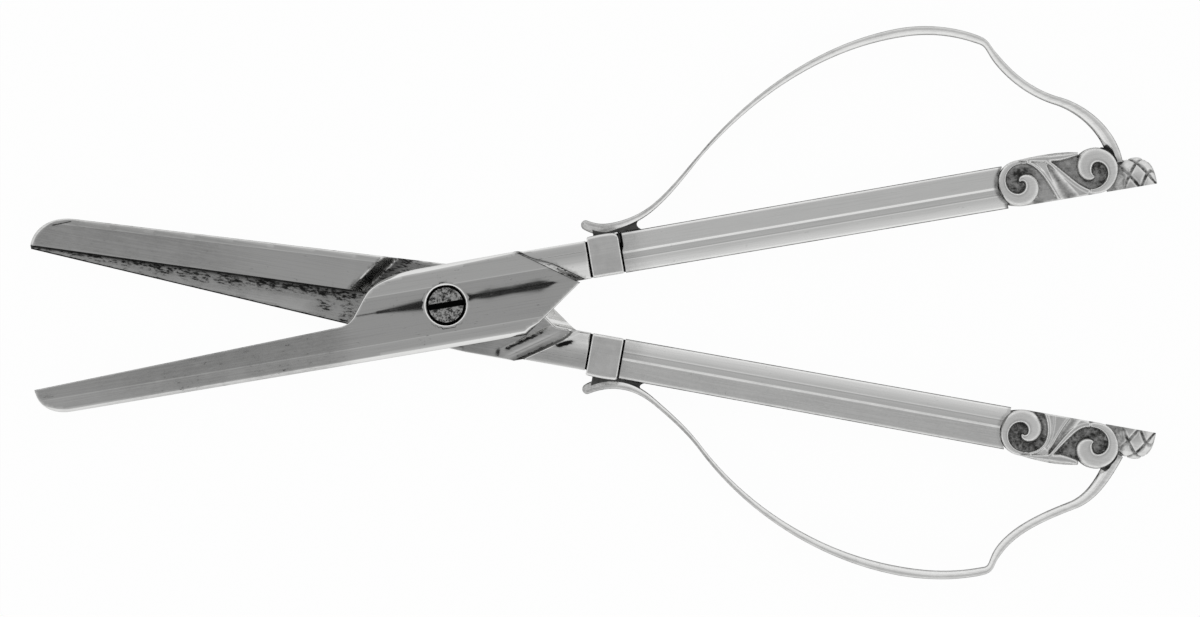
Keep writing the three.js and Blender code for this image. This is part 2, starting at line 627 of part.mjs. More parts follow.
function bowRing(point, along, section) {
  const across = at(-along.y, along.x);
  const ring = [];
  for (let i = 0; i < BOW_SIDES; i += 1) {
    const angle = (i / BOW_SIDES) * Math.PI * 2;
    ring.push(at(Math.cos(angle) * section.x, Math.sin(angle) * section.y));
  }
  return {
    ring,
    place: (p) => new THREE.Vector3(point.x + across.x * p.x, point.y + across.y * p.x, p.y),
  };
}

function bow(bends) {
  const rings = [];
  for (let s = 0; s + 1 < bends.length; s += 1) {
    const [from, to, next] = bends.slice(s, s + 3);
    const curve = bowStretch(from, to);
    for (let i = s === 0 ? 0 : 1; i <= BOW_STEPS; i += 1) {
      const share = i / BOW_STEPS;
      const along = curve.getTangent(share);
      if (i === BOW_STEPS && next) {
        along.add(bowStretch(to, next).getTangent(0)).normalize();
      }
      rings.push(bowRing(curve.getPoint(share), along, from.section.clone().lerp(to.section, share)));
    }
  }
  const overFinial = box(
    new THREE.Vector3(REAR_EYE, FINIAL_CREST + SEAT_GAP - FAR, -FAR),
    new THREE.Vector3(FINIAL_END, FINIAL_CREST + SEAT_GAP, FAR),
  );
  return loft(rings).subtract(voluteSeat(REAR_VOLUTE)).subtract(overFinial);
}

// The lug: a tongue held between collar and handle, with a wedge that fills in under the bow.
function lug([, foot, rise]) {
  const start = COLLAR_END + SEAT_GAP;
  const stop = HANDLE_START - SEAT_GAP;
  const end = stop + LUG_LENGTH;
  const handleTop = INNER_EDGE + HANDLE_FRONT_WIDTH + SEAT_GAP;
  const points = bowStretch(foot, rise).getPoints(BOW_STEPS * CURVE_STEPS);
  const under = (x) => {
    const above = points.reduce((best, p) => (Math.abs(p.x - x) < Math.abs(best.x - x) ? p : best));
    return at(x, above.y - BOW_FOOT_THICKNESS / 2 - SEAT_GAP);
  };
  const shape = new THREE.Shape([
    at(start, handleTop - LUG_TONGUE), at(stop, handleTop - LUG_TONGUE), at(stop, handleTop),
    at(end, handleTop), under(end), under(stop), under(start),
  ]);
  return slab(shape, -LUG_THICKNESS / 2, LUG_THICKNESS / 2);
}

const finish = (color, roughness) => new THREE.MeshStandardMaterial({ color, roughness, metalness: 1 });
const POLISHED_SILVER = finish(0xcfcfcb, 0.16);
const BRUSHED_BLADE = finish(0xb9b9b7, 0.28);
const DARK_SOLDER = finish(0x6d6c69, 0.45);
const CEMENT = new THREE.MeshStandardMaterial({ color: 0x8a7f6c, roughness: 0.9, metalness: 0 });

function mesh(name, body, material) {
  const made = new THREE.Mesh(geometryOf(body), material);
  made.name = name;
  return made;
}

// One half in its own frame: the blade and the pieces that both halves share. The plate's side of
// the handle is the front of the upper half and the back of the lower one.
function halfOf(side, blade, plateSide, farSide, bends) {
  const group = new THREE.Group();
  const shell = handleShell();
  group.add(
    mesh(`${side}_blade`, blade, BRUSHED_BLADE),
    mesh(`${side}_collar`, collar(), POLISHED_SILVER),
    mesh(`${side}_handle_${plateSide}`, shell, POLISHED_SILVER),
    mesh(`${side}_handle_${farSide}`, turnedDown(shell), POLISHED_SILVER),
    mesh(`${side}_handle_core`, handleCore(), CEMENT),
    mesh(`${side}_scroll`, scrollTerminal(), POLISHED_SILVER),
    mesh(`${side}_finial`, finial(), POLISHED_SILVER),
    mesh(`${side}_bow`, bow(bends), POLISHED_SILVER),
    mesh(`${side}_lug`, lug(bends), DARK_SOLDER),
  );
  return group;
}

const upperBends = bowBends({ riseHeading: BOW_RISE_HEADING, drop: 0, waistDrop: 0 });
const upper = halfOf('upper', upperBlade(), 'front', 'back', upperBends);
upper.rotation.z = radians(OPEN_ANGLE / 2);
upper.position.z = HALF_THICKNESS;

const lowerBends = bowBends(
  { riseHeading: LOWER_RISE_HEADING, drop: LOWER_BOW_DROP, waistDrop: LOWER_WAIST_DROP });
const turnedOver = halfOf('lower', lowerBlade(), 'back', 'front', lowerBends);
turnedOver.rotation.x = Math.PI;
const lower = new THREE.Group();
lower.add(turnedOver);
lower.rotation.z = radians(-OPEN_ANGLE / 2);
lower.position.z = HALF_THICKNESS;

const screw = mesh('pivot_screw', pivotScrew(), POLISHED_SILVER);
screw.rotation.z = radians(OPEN_ANGLE / 2);
screw.position.z = HALF_THICKNESS;

const shears = new THREE.Group();
shears.add(upper, lower, screw);

export default shears;
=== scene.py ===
"""Silver grape shears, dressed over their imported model.

Two halves cross in a half-lap joint and turn on one slotted screw. Each half is drawn in its own
closed frame, in millimetres: u runs from the pivot along the handle, v across to the handle's outer
side, and z from the shear plane to the joint plate. The lower half is turned over about u.
"""
from __future__ import annotations

import logging
import math
from dataclasses import dataclass, replace
from enum import Enum
from typing import Any, Callable, ClassVar, Sequence

import bmesh
import bpy
import numpy as np
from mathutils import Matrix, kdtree
from mathutils.geometry import delaunay_2d_cdt


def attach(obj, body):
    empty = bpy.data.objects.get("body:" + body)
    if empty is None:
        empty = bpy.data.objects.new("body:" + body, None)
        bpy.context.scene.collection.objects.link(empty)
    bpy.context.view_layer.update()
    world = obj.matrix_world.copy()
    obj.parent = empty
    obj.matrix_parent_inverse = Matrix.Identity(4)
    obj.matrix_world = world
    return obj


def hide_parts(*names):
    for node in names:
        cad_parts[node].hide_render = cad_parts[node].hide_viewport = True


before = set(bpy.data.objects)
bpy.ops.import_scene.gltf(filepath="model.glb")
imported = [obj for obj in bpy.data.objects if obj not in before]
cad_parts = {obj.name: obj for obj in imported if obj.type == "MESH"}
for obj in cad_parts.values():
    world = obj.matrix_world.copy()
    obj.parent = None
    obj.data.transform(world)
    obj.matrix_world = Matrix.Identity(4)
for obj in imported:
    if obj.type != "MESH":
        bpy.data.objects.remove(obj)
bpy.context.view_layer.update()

Points = np.ndarray
Heights = Callable[[Points], np.ndarray]
Tree = bpy.types.NodeTree
Socket = bpy.types.NodeSocket

MM = 0.001
OPEN_ANGLE = 19.6
HALF_THICKNESS = 2.5

# Depths in a hollow, on the scale that MetalFinish explains: packed with dirt, and the most there is.
PACKED_DIRT = 1.4
MOST_DIRT = 1.5

log = logging.getLogger("grape_shears")


class Half(Enum):
    """The two halves of the shears, as they lie."""

    UPPER = "upper"
    LOWER = "lower"

    @property
    def body(self) -> str:
        """Name of the body that this half's pieces ride on."""
        return f"{self.value}_half"

    @property
    def facing(self) -> float:
        """+1 where the half's own z points up as it lies, -1 where it is turned over."""
        return 1.0 if self is Half.UPPER else -1.0

    @property
    def scroll_shift(self) -> float:
        """How much farther back this half's scroll was soldered on."""
        return 0.0 if self is Half.UPPER else 0.55

    @property
    def rear_shift(self) -> float:
        """How much farther back this half's rear volute lies."""
        return 0.0 if self is Half.UPPER else 0.25

    def place(self, points: Points) -> Points:
        """Moves points from the half's own frame to the shared one.

        Args:
            points: rows of u, v, z in millimetres.

        Returns:
            Rows of x, y, z in metres.
        """
        turn = math.radians(OPEN_ANGLE / 2) * self.facing
        x, y, z = points[:, 0], points[:, 1] * self.facing, points[:, 2] * self.facing
        cos, sin = math.cos(turn), math.sin(turn)
        return np.stack([x * cos - y * sin, x * sin + y * cos, z + HALF_THICKNESS], axis=1) * MM


class Slot(Enum):
    """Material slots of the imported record."""

    SILVER = "silver"
    BLADE = "blade_metal"
    SCREW = "screw_metal"
    SOLDER = "solder"


def linear(code: str) -> tuple[float, float, float, float]:
    """Turns an sRGB hex colour into linear RGBA.

    Args:
        code: colour as #rrggbb.

    Returns:
        Red, green, blue and an alpha of 1.
    """
    shares = [int(code[i:i + 2], 16) / 255 for i in (1, 3, 5)]
    light = [s / 12.92 if s <= 0.04045 else ((s + 0.055) / 1.055) ** 2.4 for s in shares]
    return (light[0], light[1], light[2], 1.0)


def empty_tree(holder: bpy.types.Material | bpy.types.World) -> Tree:
    """Gives a material or a world an empty node tree."""
    holder.use_nodes = True
    holder.node_tree.nodes.clear()
    return holder.node_tree


def add_node(tree: Tree, kind: str, settings: dict[str, Any] | None = None,
             inputs: dict[str | int, Any] | None = None) -> bpy.types.Node:
    """Adds a node with its settings and links.

    Args:
        tree: node tree that takes it.
        kind: Blender's type name of the node.
        settings: properties to set on it.
        inputs: values or sockets for its inputs, by name or place.

    Returns:
        The new node.
    """
    node = tree.nodes.new(kind)
    for key, value in (settings or {}).items():
        setattr(node, key, value)
    for key, value in (inputs or {}).items():
        if isinstance(value, Socket):
            tree.links.new(value, node.inputs[key])
        else:
            node.inputs[key].default_value = value
    return node


def reckon(tree: Tree, operation: str, *terms: Socket | float, clamp: bool = False) -> Socket:
    """Adds a math node over values or sockets."""
    settings = {"operation": operation, "use_clamp": clamp}
    return add_node(tree, "ShaderNodeMath", settings, dict(enumerate(terms))).outputs["Value"]


def noise(tree: Tree, place: Socket, scale: float, detail: float, roughness: float = 0.5) -> Socket:
    """Adds a cloudy noise, at a number of clouds per unit of place."""
    inputs = {"Vector": place, "Scale": scale, "Detail": detail, "Roughness": roughness}
    return add_node(tree, "ShaderNodeTexNoise", None, inputs).outputs["Fac"]


def measured(tree: Tree, place: Socket, sizes_mm: tuple[float, float, float]) -> Socket:
    """Adds a mapping that makes each size one unit long."""
    inputs = {"Vector": place, "Scale": tuple(1 / size for size in sizes_mm)}
    return add_node(tree, "ShaderNodeMapping", None, inputs).outputs["Vector"]


def span(tree: Tree, value: Socket, source: tuple[float, float],
         target: tuple[float, float] = (0.0, 1.0), kind: str = "LINEAR") -> Socket:
    """Adds a node that maps one stretch of values to another."""
    inputs = {"Value": value, "From Min": source[0], "From Max": source[1],
              "To Min": target[0], "To Max": target[1]}
    return add_node(tree, "ShaderNodeMapRange", {"interpolation_type": kind}, inputs).outputs["Result"]


def blend(tree: Tree, share: Socket, near: Any, far: Any) -> Socket:
    """Adds a mix of two colours, each a colour or a socket."""
    inputs = {"Factor": share, 6: near, 7: far}
    return add_node(tree, "ShaderNodeMix", {"data_type": "RGBA"}, inputs).outputs[2]


def surface(tree: Tree, tone: Socket, rough: Socket | float, height: Socket, strength: float,
            depth_mm: float, **constants: Any) -> None:
    """Closes a tree with a bumped shader.

    Args:
        tree: node tree that takes it.
        tone: base colour.
        rough: roughness.
        height: height of the bump.
        strength: how strongly the bump shows.
        depth_mm: depth of the bump.
        constants: the shader's other inputs, with underscores for spaces.
    """
    bumped = add_node(tree, "ShaderNodeBump", None, {
        "Height": height, "Strength": strength, "Distance": depth_mm * MM})
    named = {key.replace("_", " "): value for key, value in constants.items()}
    shader = add_node(tree, "ShaderNodeBsdfPrincipled", None, {
        "Base Color": tone, "Roughness": rough, "Normal": bumped.outputs["Normal"], **named})
    add_node(tree, "ShaderNodeOutputMaterial", None, {"Surface": shader.outputs["BSDF"]})


def smooth(x: np.ndarray | float) -> np.ndarray:
    """Eases from 0 to 1 as x goes from 0 to 1."""
    t = np.clip(x, 0.0, 1.0)
    return t * t * (3.0 - 2.0 * t)


def ramp(x: np.ndarray, ease: float) -> np.ndarray:
    """Zero for negative x and x for positive x, eased over a length."""
    return ease * np.logaddexp(0.0, x / ease)


def ridge(x: np.ndarray, ease: np.ndarray) -> np.ndarray:
    """Absolute value of x, rounded over a length."""
    return ease * (np.logaddexp(x / ease, -x / ease) - math.log(2.0))


def bump(x: np.ndarray | float, width: float) -> np.ndarray:
    """A bell of height 1 at 0."""
    return np.exp(-(x / width) ** 2)


def heading(degrees: float) -> Points:
    """Unit vector at an angle in plan."""
    return np.array([math.cos(math.radians(degrees)), math.sin(math.radians(degrees))])


def circle(count: int, closed: bool = False) -> Points:
    """Points round a unit circle, the first one repeated at the end where it is closed."""
    angles = np.linspace(0.0, 2 * math.pi, count, endpoint=closed)
    return np.stack([np.cos(angles), np.sin(angles)], axis=1)


def arc(u: float, v: float, radius: float, first: float, last: float, count: int) -> list[Points]:
    """Points round part of a circle, between two angles in degrees."""
    return [np.array([u, v]) + heading(float(turn)) * radius for turn in np.linspace(first, last, count)]


def bell(count: int) -> np.ndarray:
    """Weights of a bell-shaped average, which add up to 1."""
    weights = np.hanning(count)[1:-1]
    return weights / weights.sum()


def level(height: float) -> Heights:
    """The same height over the whole plan."""
    return lambda plan: np.full(len(plan), height)


def bezier(*controls: Points, steps: int) -> Points:
    """Points along a quadratic or cubic curve.

    Args:
        controls: three or four control points.
        steps: number of spans.

    Returns:
        Rows of points, both ends included.
    """
    t = np.linspace(0.0, 1.0, steps + 1)[:, None]
    degree = len(controls) - 1
    terms = [math.comb(degree, i) * t ** i * (1 - t) ** (degree - i) * np.asarray(c)
             for i, c in enumerate(controls)]
    return np.sum(terms, axis=0)


@dataclass(frozen=True)
class Line:
    """A straight line in plan: a point and an angle in degrees."""

    u: float
    v: float
    angle: float

    def at(self, distance: float) -> Points:
        """Point at a distance along the line."""
        return np.array([self.u, self.v]) + heading(self.angle) * distance

    def cross(self, other: Line) -> Points:
        """Where two lines meet."""
        a, b = heading(self.angle), heading(other.angle)
        gap = np.array([other.u - self.u, other.v - self.v])
        return self.at((gap[0] * b[1] - gap[1] * b[0]) / (a[0] * b[1] - a[1] * b[0]))

    def left_of(self, points: Points) -> np.ndarray:
        """Distance of points to the left of the line."""
        a = heading(self.angle)
        return a[0] * (points[:, 1] - self.v) - a[1] * (points[:, 0] - self.u)

    def along(self, points: Points) -> np.ndarray:
        """Distance of points along the line from its own point."""
        return (points - self.at(0.0)) @ heading(self.angle)

    def beside(self, distance: float, start: float, stop: float, steps: int) -> Points:
        """A parallel run of points, to the left of the line."""
        a = heading(self.angle)
        side = np.array([-a[1], a[0]]) * distance
        return np.array([self.at(t) + side for t in np.linspace(start, stop, steps + 1)])


@dataclass
class Skin:
    """A closed mesh in a half's frame, with how dark each point is painted: tarnish and dirt, and painted
    shade.
    """

    points: Points
    faces: list[tuple[int, ...]]
    hollow: np.ndarray

    def joined(self, other: Skin) -> Skin:
        """This skin and another as one."""
        shift = len(self.points)
        faces = self.faces + [tuple(i + shift for i in face) for face in other.faces]
        return Skin(np.vstack([self.points, other.points]), faces,
                    np.concatenate([self.hollow, other.hollow]))

    def mirrored(self) -> Skin:
        """The same skin on the other side of the shear plane."""
        return Skin(self.points * np.array([1.0, 1.0, -1.0]),
                    [tuple(reversed(face)) for face in self.faces], self.hollow.copy())


def walls(index: np.ndarray) -> list[tuple[int, ...]]:
    """Four-sided faces between rings of point numbers."""
    near, far = index[:-1], index[1:]
    quads = np.stack([near, np.roll(near, -1, 1), np.roll(far, -1, 1), far], axis=-1)
    return [tuple(q) for q in quads.reshape(-1, 4).tolist()]


def loft(rings: Points, hollow: np.ndarray | None = None) -> Skin:
    """Skins a row of rings and closes both ends.

    Args:
        rings: array of rings by points by u, v, z.
        hollow: how dark each ring's points are painted, by tarnish, dirt or painted shade, or none.

    Returns:
        The closed skin.
    """
    count, sides = rings.shape[:2]
    index = np.arange(count * sides).reshape(count, sides)
    faces = walls(index) + [tuple(reversed(index[0].tolist())), tuple(index[-1].tolist())]
    depth = np.zeros(count * sides) if hollow is None else hollow.reshape(-1)
    return Skin(rings.reshape(-1, 3), faces, depth)


def spread(outline: Points, step: float) -> list[int]:
    """How many parts each side of an outline takes at a step length."""
    lengths = np.linalg.norm(np.roll(outline, -1, 0) - outline, axis=1)
    return [max(1, int(math.ceil(length / step))) for length in lengths]


def divided(outline: Points, parts: Sequence[int]) -> Points:
    """Divides each side of an outline into its number of parts."""
    after = np.roll(outline, -1, 0)
    rows = [a + (b - a) * (i / n) for a, b, n in zip(outline, after, parts) for i in range(n)]
    return np.array(rows)


def inset(outline: Points, distance: np.ndarray) -> Points:
    """Moves the points of a counter-clockwise outline inwards.

    Args:
        outline: rows of u, v.
        distance: how far, for each point.

    Returns:
        The moved rows.
    """
    side = np.roll(outline, -1, 0) - outline
    side /= np.linalg.norm(side, axis=1)[:, None]
    inward = np.stack([-side[:, 1], side[:, 0]], axis=1)
    before = np.roll(inward, 1, 0)
    share = np.maximum(1.0 + np.sum(inward * before, axis=1), 0.5)
    return outline + (inward + before) / share[:, None] * distance[:, None]


def within(points: Points, ring: Points) -> np.ndarray:
    """Which points lie inside a closed ring."""
    inside = np.zeros(len(points), bool)
    for (au, av), (bu, bv) in zip(ring, np.roll(ring, -1, 0)):
        spans = (av > points[:, 1]) != (bv > points[:, 1])
        if np.any(spans):
            at = au + (points[:, 1] - av) * (bu - au) / (bv - av if bv != av else 1e-12)
            inside ^= spans & (points[:, 0] < at)
    return inside


def clearance(points: Points, marks: Points) -> np.ndarray:
    """Distance from each point to the nearest mark."""
    tree = kdtree.KDTree(len(marks))
    for i, (u, v) in enumerate(marks):
        tree.insert((u, v, 0.0), i)
    tree.balance()
    return np.array([tree.find((u, v, 0.0))[2] for u, v in points])


@dataclass
class Relief:
    """A closed piece drawn in plan, with a height over the plan on each side.

    The two outlines may differ, which leans the walls between them, and keep the same sides.
    """

    upper: Points
    lower: Points
    top: Heights
    bottom: Heights
    hollow: Callable[[Points, float], np.ndarray]
    rounding: Callable[[Points], np.ndarray]
    under_rounding: float = 0.08
    step: float = 0.4
    spacing: float = 0.4
    arcs: int = 4
    bevel: float = 1.0
    top_lines: Sequence[Points] = ()
    bottom_lines: Sequence[Points] = ()
    hole: float = 0.0
    hole_sides: int = 48
    line_margin: float = 0.06
    row_share: float = 0.87
    free_share: float = 0.5
    merge: float = 1e-6

    def edge_rings(self, upper: Points, lower: Points) -> list[Points]:
        """Rows of u, v, z round the rounded edges, from the lower face's rim to the upper one's."""
        rings = []
        for heights, outline, side in ((self.bottom, lower, -1.0), (self.top, upper, 1.0)):
            radius = self.rounding(outline) if side > 0 else np.full(len(outline), self.under_rounding)
            rows = []
            for turn in np.linspace(0.0, math.pi / 2, self.arcs + 1):
                row = inset(outline, radius * (1.0 - max(math.cos(turn), 0.0) ** self.bevel))
                z = heights(row) - side * radius * (1.0 - math.sin(turn) ** self.bevel)
                rows.append(np.column_stack([row, z]))
            rings += rows[::-1] if side < 0 else rows
        return rings

    def skin(self) -> Skin:
        """Builds the closed mesh."""
        after = np.roll(self.upper, -1, 0)
        area = np.sum(self.upper[:, 0] * after[:, 1] - self.upper[:, 1] * after[:, 0])
        upper, lower = (self.upper, self.lower) if area > 0 else (self.upper[::-1], self.lower[::-1])
        parts = spread(upper, self.step)
        count = sum(parts)
        points = np.concatenate(self.edge_rings(divided(upper, parts), divided(lower, parts)))
        sides = np.where(np.arange(len(points)) < len(points) // 2, -1.0, 1.0)
        index = np.arange(len(points)).reshape(-1, count)
        faces = walls(index)
        hole_rings = []
        for ring, heights, lines, side in ((index[0], self.bottom, self.bottom_lines, -1.0),
                                           (index[-1], self.top, self.top_lines, 1.0)):
            plan, triangles, bore = self._cap(points[ring, :2], lines)
            shift = len(points) - count
            names = np.where(np.arange(len(plan)) < count, 0, np.arange(len(plan)) + shift)
            names[:count] = ring
            fresh = plan[count:]
            points = np.vstack([points, np.column_stack([fresh, heights(fresh)])])
            sides = np.concatenate([sides, np.full(len(fresh), side)])
            faces += [tuple(names[list(t if side > 0 else t[::-1])].tolist()) for t in triangles]
            hole_rings.append(names[bore] if len(bore) else bore)
        if self.hole:
            low, high = hole_rings
            faces += [(low[i], high[i], high[(i + 1) % len(low)], low[(i + 1) % len(low)])
                      for i in range(len(low))]
        depth = np.where(sides > 0, self.hollow(points, 1.0), self.hollow(points, -1.0))
        return Skin(points, [tuple(int(i) for i in f) for f in faces], depth)

    def _fixed(self, ring: Points, bore: Points,
               lines: Sequence[Points]) -> tuple[Points, list[tuple[int, int]]]:
        """Points and edges that the triangles keep: the ring, the hole and the lines, in this order."""
        count = len(ring)
        marks = [ring, bore]
        edges = [(i, (i + 1) % count) for i in range(count)]
        edges += [(count + i, count + (i + 1) % len(bore)) for i in range(len(bore))]
        total = count + len(bore)
        for run in lines:
            keep = within(run, ring) & (clearance(run, ring) > self.line_margin)
            names = np.cumsum(keep) - 1 + total
            edges += [(int(names[i]), int(names[i + 1])) for i in range(len(run) - 1)
                      if keep[i] and keep[i + 1]]
            marks.append(run[keep])
            total += int(keep.sum())
        return np.vstack(marks), edges

    def _loose(self, ring: Points, fixed: Points) -> Points:
        """Points that fill a ring evenly, clear of the fixed ones and of the hole."""
        low, high = ring.min(0), ring.max(0)
        rows = np.arange(low[1], high[1], self.spacing * self.row_share)
        grid = np.array([(u, v) for j, v in enumerate(rows)
                         for u in np.arange(low[0] + (j % 2) * self.spacing / 2, high[0], self.spacing)])
        grid = grid[within(grid, ring)]
        dense = np.vstack([fixed, (ring + np.roll(ring, -1, 0)) / 2])
        grid = grid[clearance(grid, dense) > self.free_share * self.spacing]
        return grid[np.linalg.norm(grid, axis=1) > self.hole] if self.hole else grid

    def _cap(self, ring: Points, lines: Sequence[Points]) -> tuple[Points, list[list[int]], Points]:
        """Fills a ring with triangles.

        Args:
            ring: rows of u, v.
            lines: runs of points that the triangles keep as edges.

        Returns:
            Points with the ring first, triangles, and the places of the hole's points.
        """
        count = len(ring)
        bore = circle(self.hole_sides) * self.hole if self.hole else np.zeros((0, 2))
        fixed, edges = self._fixed(ring, bore, lines)
        plan = np.vstack([fixed, self._loose(ring, fixed)])
        made = delaunay_2d_cdt([tuple(p) for p in plan], edges, [list(range(count))], 1, self.merge)
        found, triangles, origin = made[0], made[2], made[3]
        names = [o[0] if o else -1 for o in origin]
        extra = [i for i, n in enumerate(names) if n < 0]
        points = np.vstack([plan, np.array([tuple(found[i]) for i in extra]).reshape(-1, 2)])
        for place, i in enumerate(extra):
            names[i] = len(plan) + place
        kept = []
        for triangle in triangles:
            face = [names[i] for i in triangle]
            middle = points[face].mean(0)
            if not self.hole or np.linalg.norm(middle) > self.hole:
                kept.append(face)
        return points, kept, np.arange(count, count + len(bore))


@dataclass(frozen=True)
class MetalFinish:
    """A polished and worn metal: how it was finished, and what time has done to it.

    The hollow attribute says how dark a surface is painted: 0 is open and buffed, 1 carries a full film of
    tarnish with pits, and past 1 old dirt fills it. Some pieces also use it to paint shade, shadow and dark
    reflections.
    """

    name: str
    colour: str
    film: str
    soil: str
    grazing: str
    gloss: tuple[float, float]
    smudge_mm: float
    scratch_run_mm: float
    scratch_gap_mm: float
    scratch_depth: float
    pit_mm: float
    pit_run: float
    pits: float
    grain: float

    pit_edges: tuple[float, float] = (0.79, 0.96)
    pit_lift: float = 0.23
    smudge_lift: float = 0.3
    shelter_power: float = 3.0
    soil_edges: tuple[float, float] = (1.0, 1.3)
    cloud_edges: tuple[float, float] = (0.78, 1.22)
    cloud_levels: tuple[float, float] = (0.55, 1.06)
    streak_edges: tuple[float, float] = (0.35, 0.65)
    smudge_edges: tuple[float, float] = (0.3, 0.7)
    film_haze: float = 0.26
    soil_haze: float = 0.25
    pit_depth: float = 1.5
    relief_mm: float = 0.02

    def material(self) -> bpy.types.Material:
        """Builds the node material, or returns it where it is already made."""
        found = bpy.data.materials.get(self.name)
        if found:
            return found
        made = bpy.data.materials.new(self.name)
        tree = empty_tree(made)
        place = add_node(tree, "ShaderNodeAttribute", {"attribute_name": "half_mm"}).outputs["Vector"]
        hollow = add_node(tree, "ShaderNodeAttribute", {"attribute_name": "hollow"}).outputs["Fac"]
        smudge = noise(tree, place, 1 / self.smudge_mm, 3.0, 0.55)
        grinding = measured(tree, place, (self.scratch_run_mm, self.scratch_gap_mm, 1.0))
        scratch = noise(tree, grinding, 1.0, 2.0, 0.6)
        spots = measured(tree, place, (self.pit_mm * self.pit_run, self.pit_mm, self.pit_mm))
        pit = noise(tree, spots, 1.0, 5.0, 0.72)
        drift = reckon(tree, "MULTIPLY_ADD", smudge, self.smudge_lift, pit)
        worn = reckon(tree, "POWER", hollow, self.shelter_power, clamp=True)
        sunk = reckon(tree, "MULTIPLY_ADD", worn, self.pit_lift, drift)
        pitted = span(tree, sunk, self.pit_edges, (0.0, self.pits), "SMOOTHSTEP")
        soil = reckon(tree, "MAXIMUM", pitted, span(tree, hollow, self.soil_edges), clamp=True)
        cloud = span(tree, reckon(tree, "ADD", smudge, pit), self.cloud_edges, self.cloud_levels)
        streak = span(tree, scratch, self.streak_edges, (-self.grain, self.grain))
        film = reckon(tree, "MULTIPLY_ADD", hollow, cloud, streak, clamp=True)
        dull = blend(tree, film, linear(self.colour), linear(self.film))
        tone = blend(tree, soil, dull, linear(self.soil))
        gloss = span(tree, smudge, self.smudge_edges, self.gloss)
        veiled = reckon(tree, "MULTIPLY_ADD", film, self.film_haze, gloss)
        rough = reckon(tree, "MULTIPLY_ADD", soil, self.soil_haze, veiled, clamp=True)
        carve = reckon(tree, "MULTIPLY_ADD", pitted, -self.pit_depth, scratch)
        surface(tree, tone, rough, carve, self.scratch_depth, self.relief_mm,
                Metallic=1.0, Specular_Tint=linear(self.grazing))
        return made


# Sterling silver, buffed to a mirror and handled for years: near-white, with soft smudges, hairline
# scratches along the length and dark sulphide left in the hollows.
STERLING_SILVER = MetalFinish(
    name="buffed_sterling_silver", colour="#e4e4e3", film="#565655", soil="#1f1f1f", grazing="#a2a2a2",
    gloss=(0.12, 0.2), smudge_mm=3.0, scratch_run_mm=9.0, scratch_gap_mm=0.25, scratch_depth=0.10,
    pit_mm=0.5, pit_run=1.0, pits=0.6, grain=0.05)

# The same silver where it was cast and only rubbed: paler and softer, blackened in its hollows.
SATIN_SILVER = replace(
    STERLING_SILVER, name="satin_sterling_silver", colour="#ededec", film="#4a4a49", gloss=(0.28, 0.38),
    smudge_mm=1.5, scratch_depth=0.2, pits=0.25, grain=0.04)

# Silver plate on ground steel: as bright as the handles and very smooth, with long grinding lines, and
# grey with dark lengthwise pits where the plating has worn off the sheltered faces.
PLATED_STEEL = MetalFinish(
    name="silver_plated_steel", colour="#e1e1e0", film="#9c9c9b", soil="#1c1c1c", grazing="#a2a2a2",
    gloss=(0.05, 0.08), smudge_mm=3.0, scratch_run_mm=14.0, scratch_gap_mm=0.2, scratch_depth=0.05,
    pit_mm=0.36, pit_run=2.6, pits=0.95, grain=0.09)

# Turned steel screw with its plating worn through: mottled grey and full of small pits.
WORN_SCREW_STEEL = MetalFinish(
    name="worn_turned_steel", colour="#f0f0ef", film="#8e8e8d", soil="#141414", grazing="#a2a2a2",
    gloss=(0.24, 0.44), smudge_mm=0.8, scratch_run_mm=3.0, scratch_gap_mm=0.2, scratch_depth=0.3,
    pit_mm=0.36, pit_run=1.0, pits=0.85, grain=0.05)

# Tin-lead solder left rough where it flowed: dull dark grey with a lumpy skin.
TIN_SOLDER = MetalFinish(
    name="dull_tin_solder", colour="#6c6c6b", film="#343433", soil="#181818", grazing="#5a5a59",
    gloss=(0.42, 0.58), smudge_mm=0.8, scratch_run_mm=1.0, scratch_gap_mm=0.6, scratch_depth=0.6,
    pit_mm=0.5, pit_run=1.0, pits=0.7, grain=0.0)


@dataclass(frozen=True)
class CementFinish:
    """Pitch cement that holds a tang: matt, brown grey and full of sand."""

    name: str = "cast_pitch_cement"
    colour: str = "#8a7f6c"
    grain: str = "#5e5547"
    grain_mm: float = 0.4
    roughness: float = 0.9
    relief: float = 0.5
    relief_mm: float = 0.1

    def material(self) -> bpy.types.Material:
        """Builds the node material."""
        made = bpy.data.materials.new(self.name)
        tree = empty_tree(made)
        where = add_node(tree, "ShaderNodeTexCoord").outputs["Object"]
        sand = noise(tree, where, 1 / (self.grain_mm * MM), 4.0)
        tone = blend(tree, sand, linear(self.colour), linear(self.grain))
        surface(tree, tone, self.roughness, sand, self.relief, self.relief_mm)
        return made


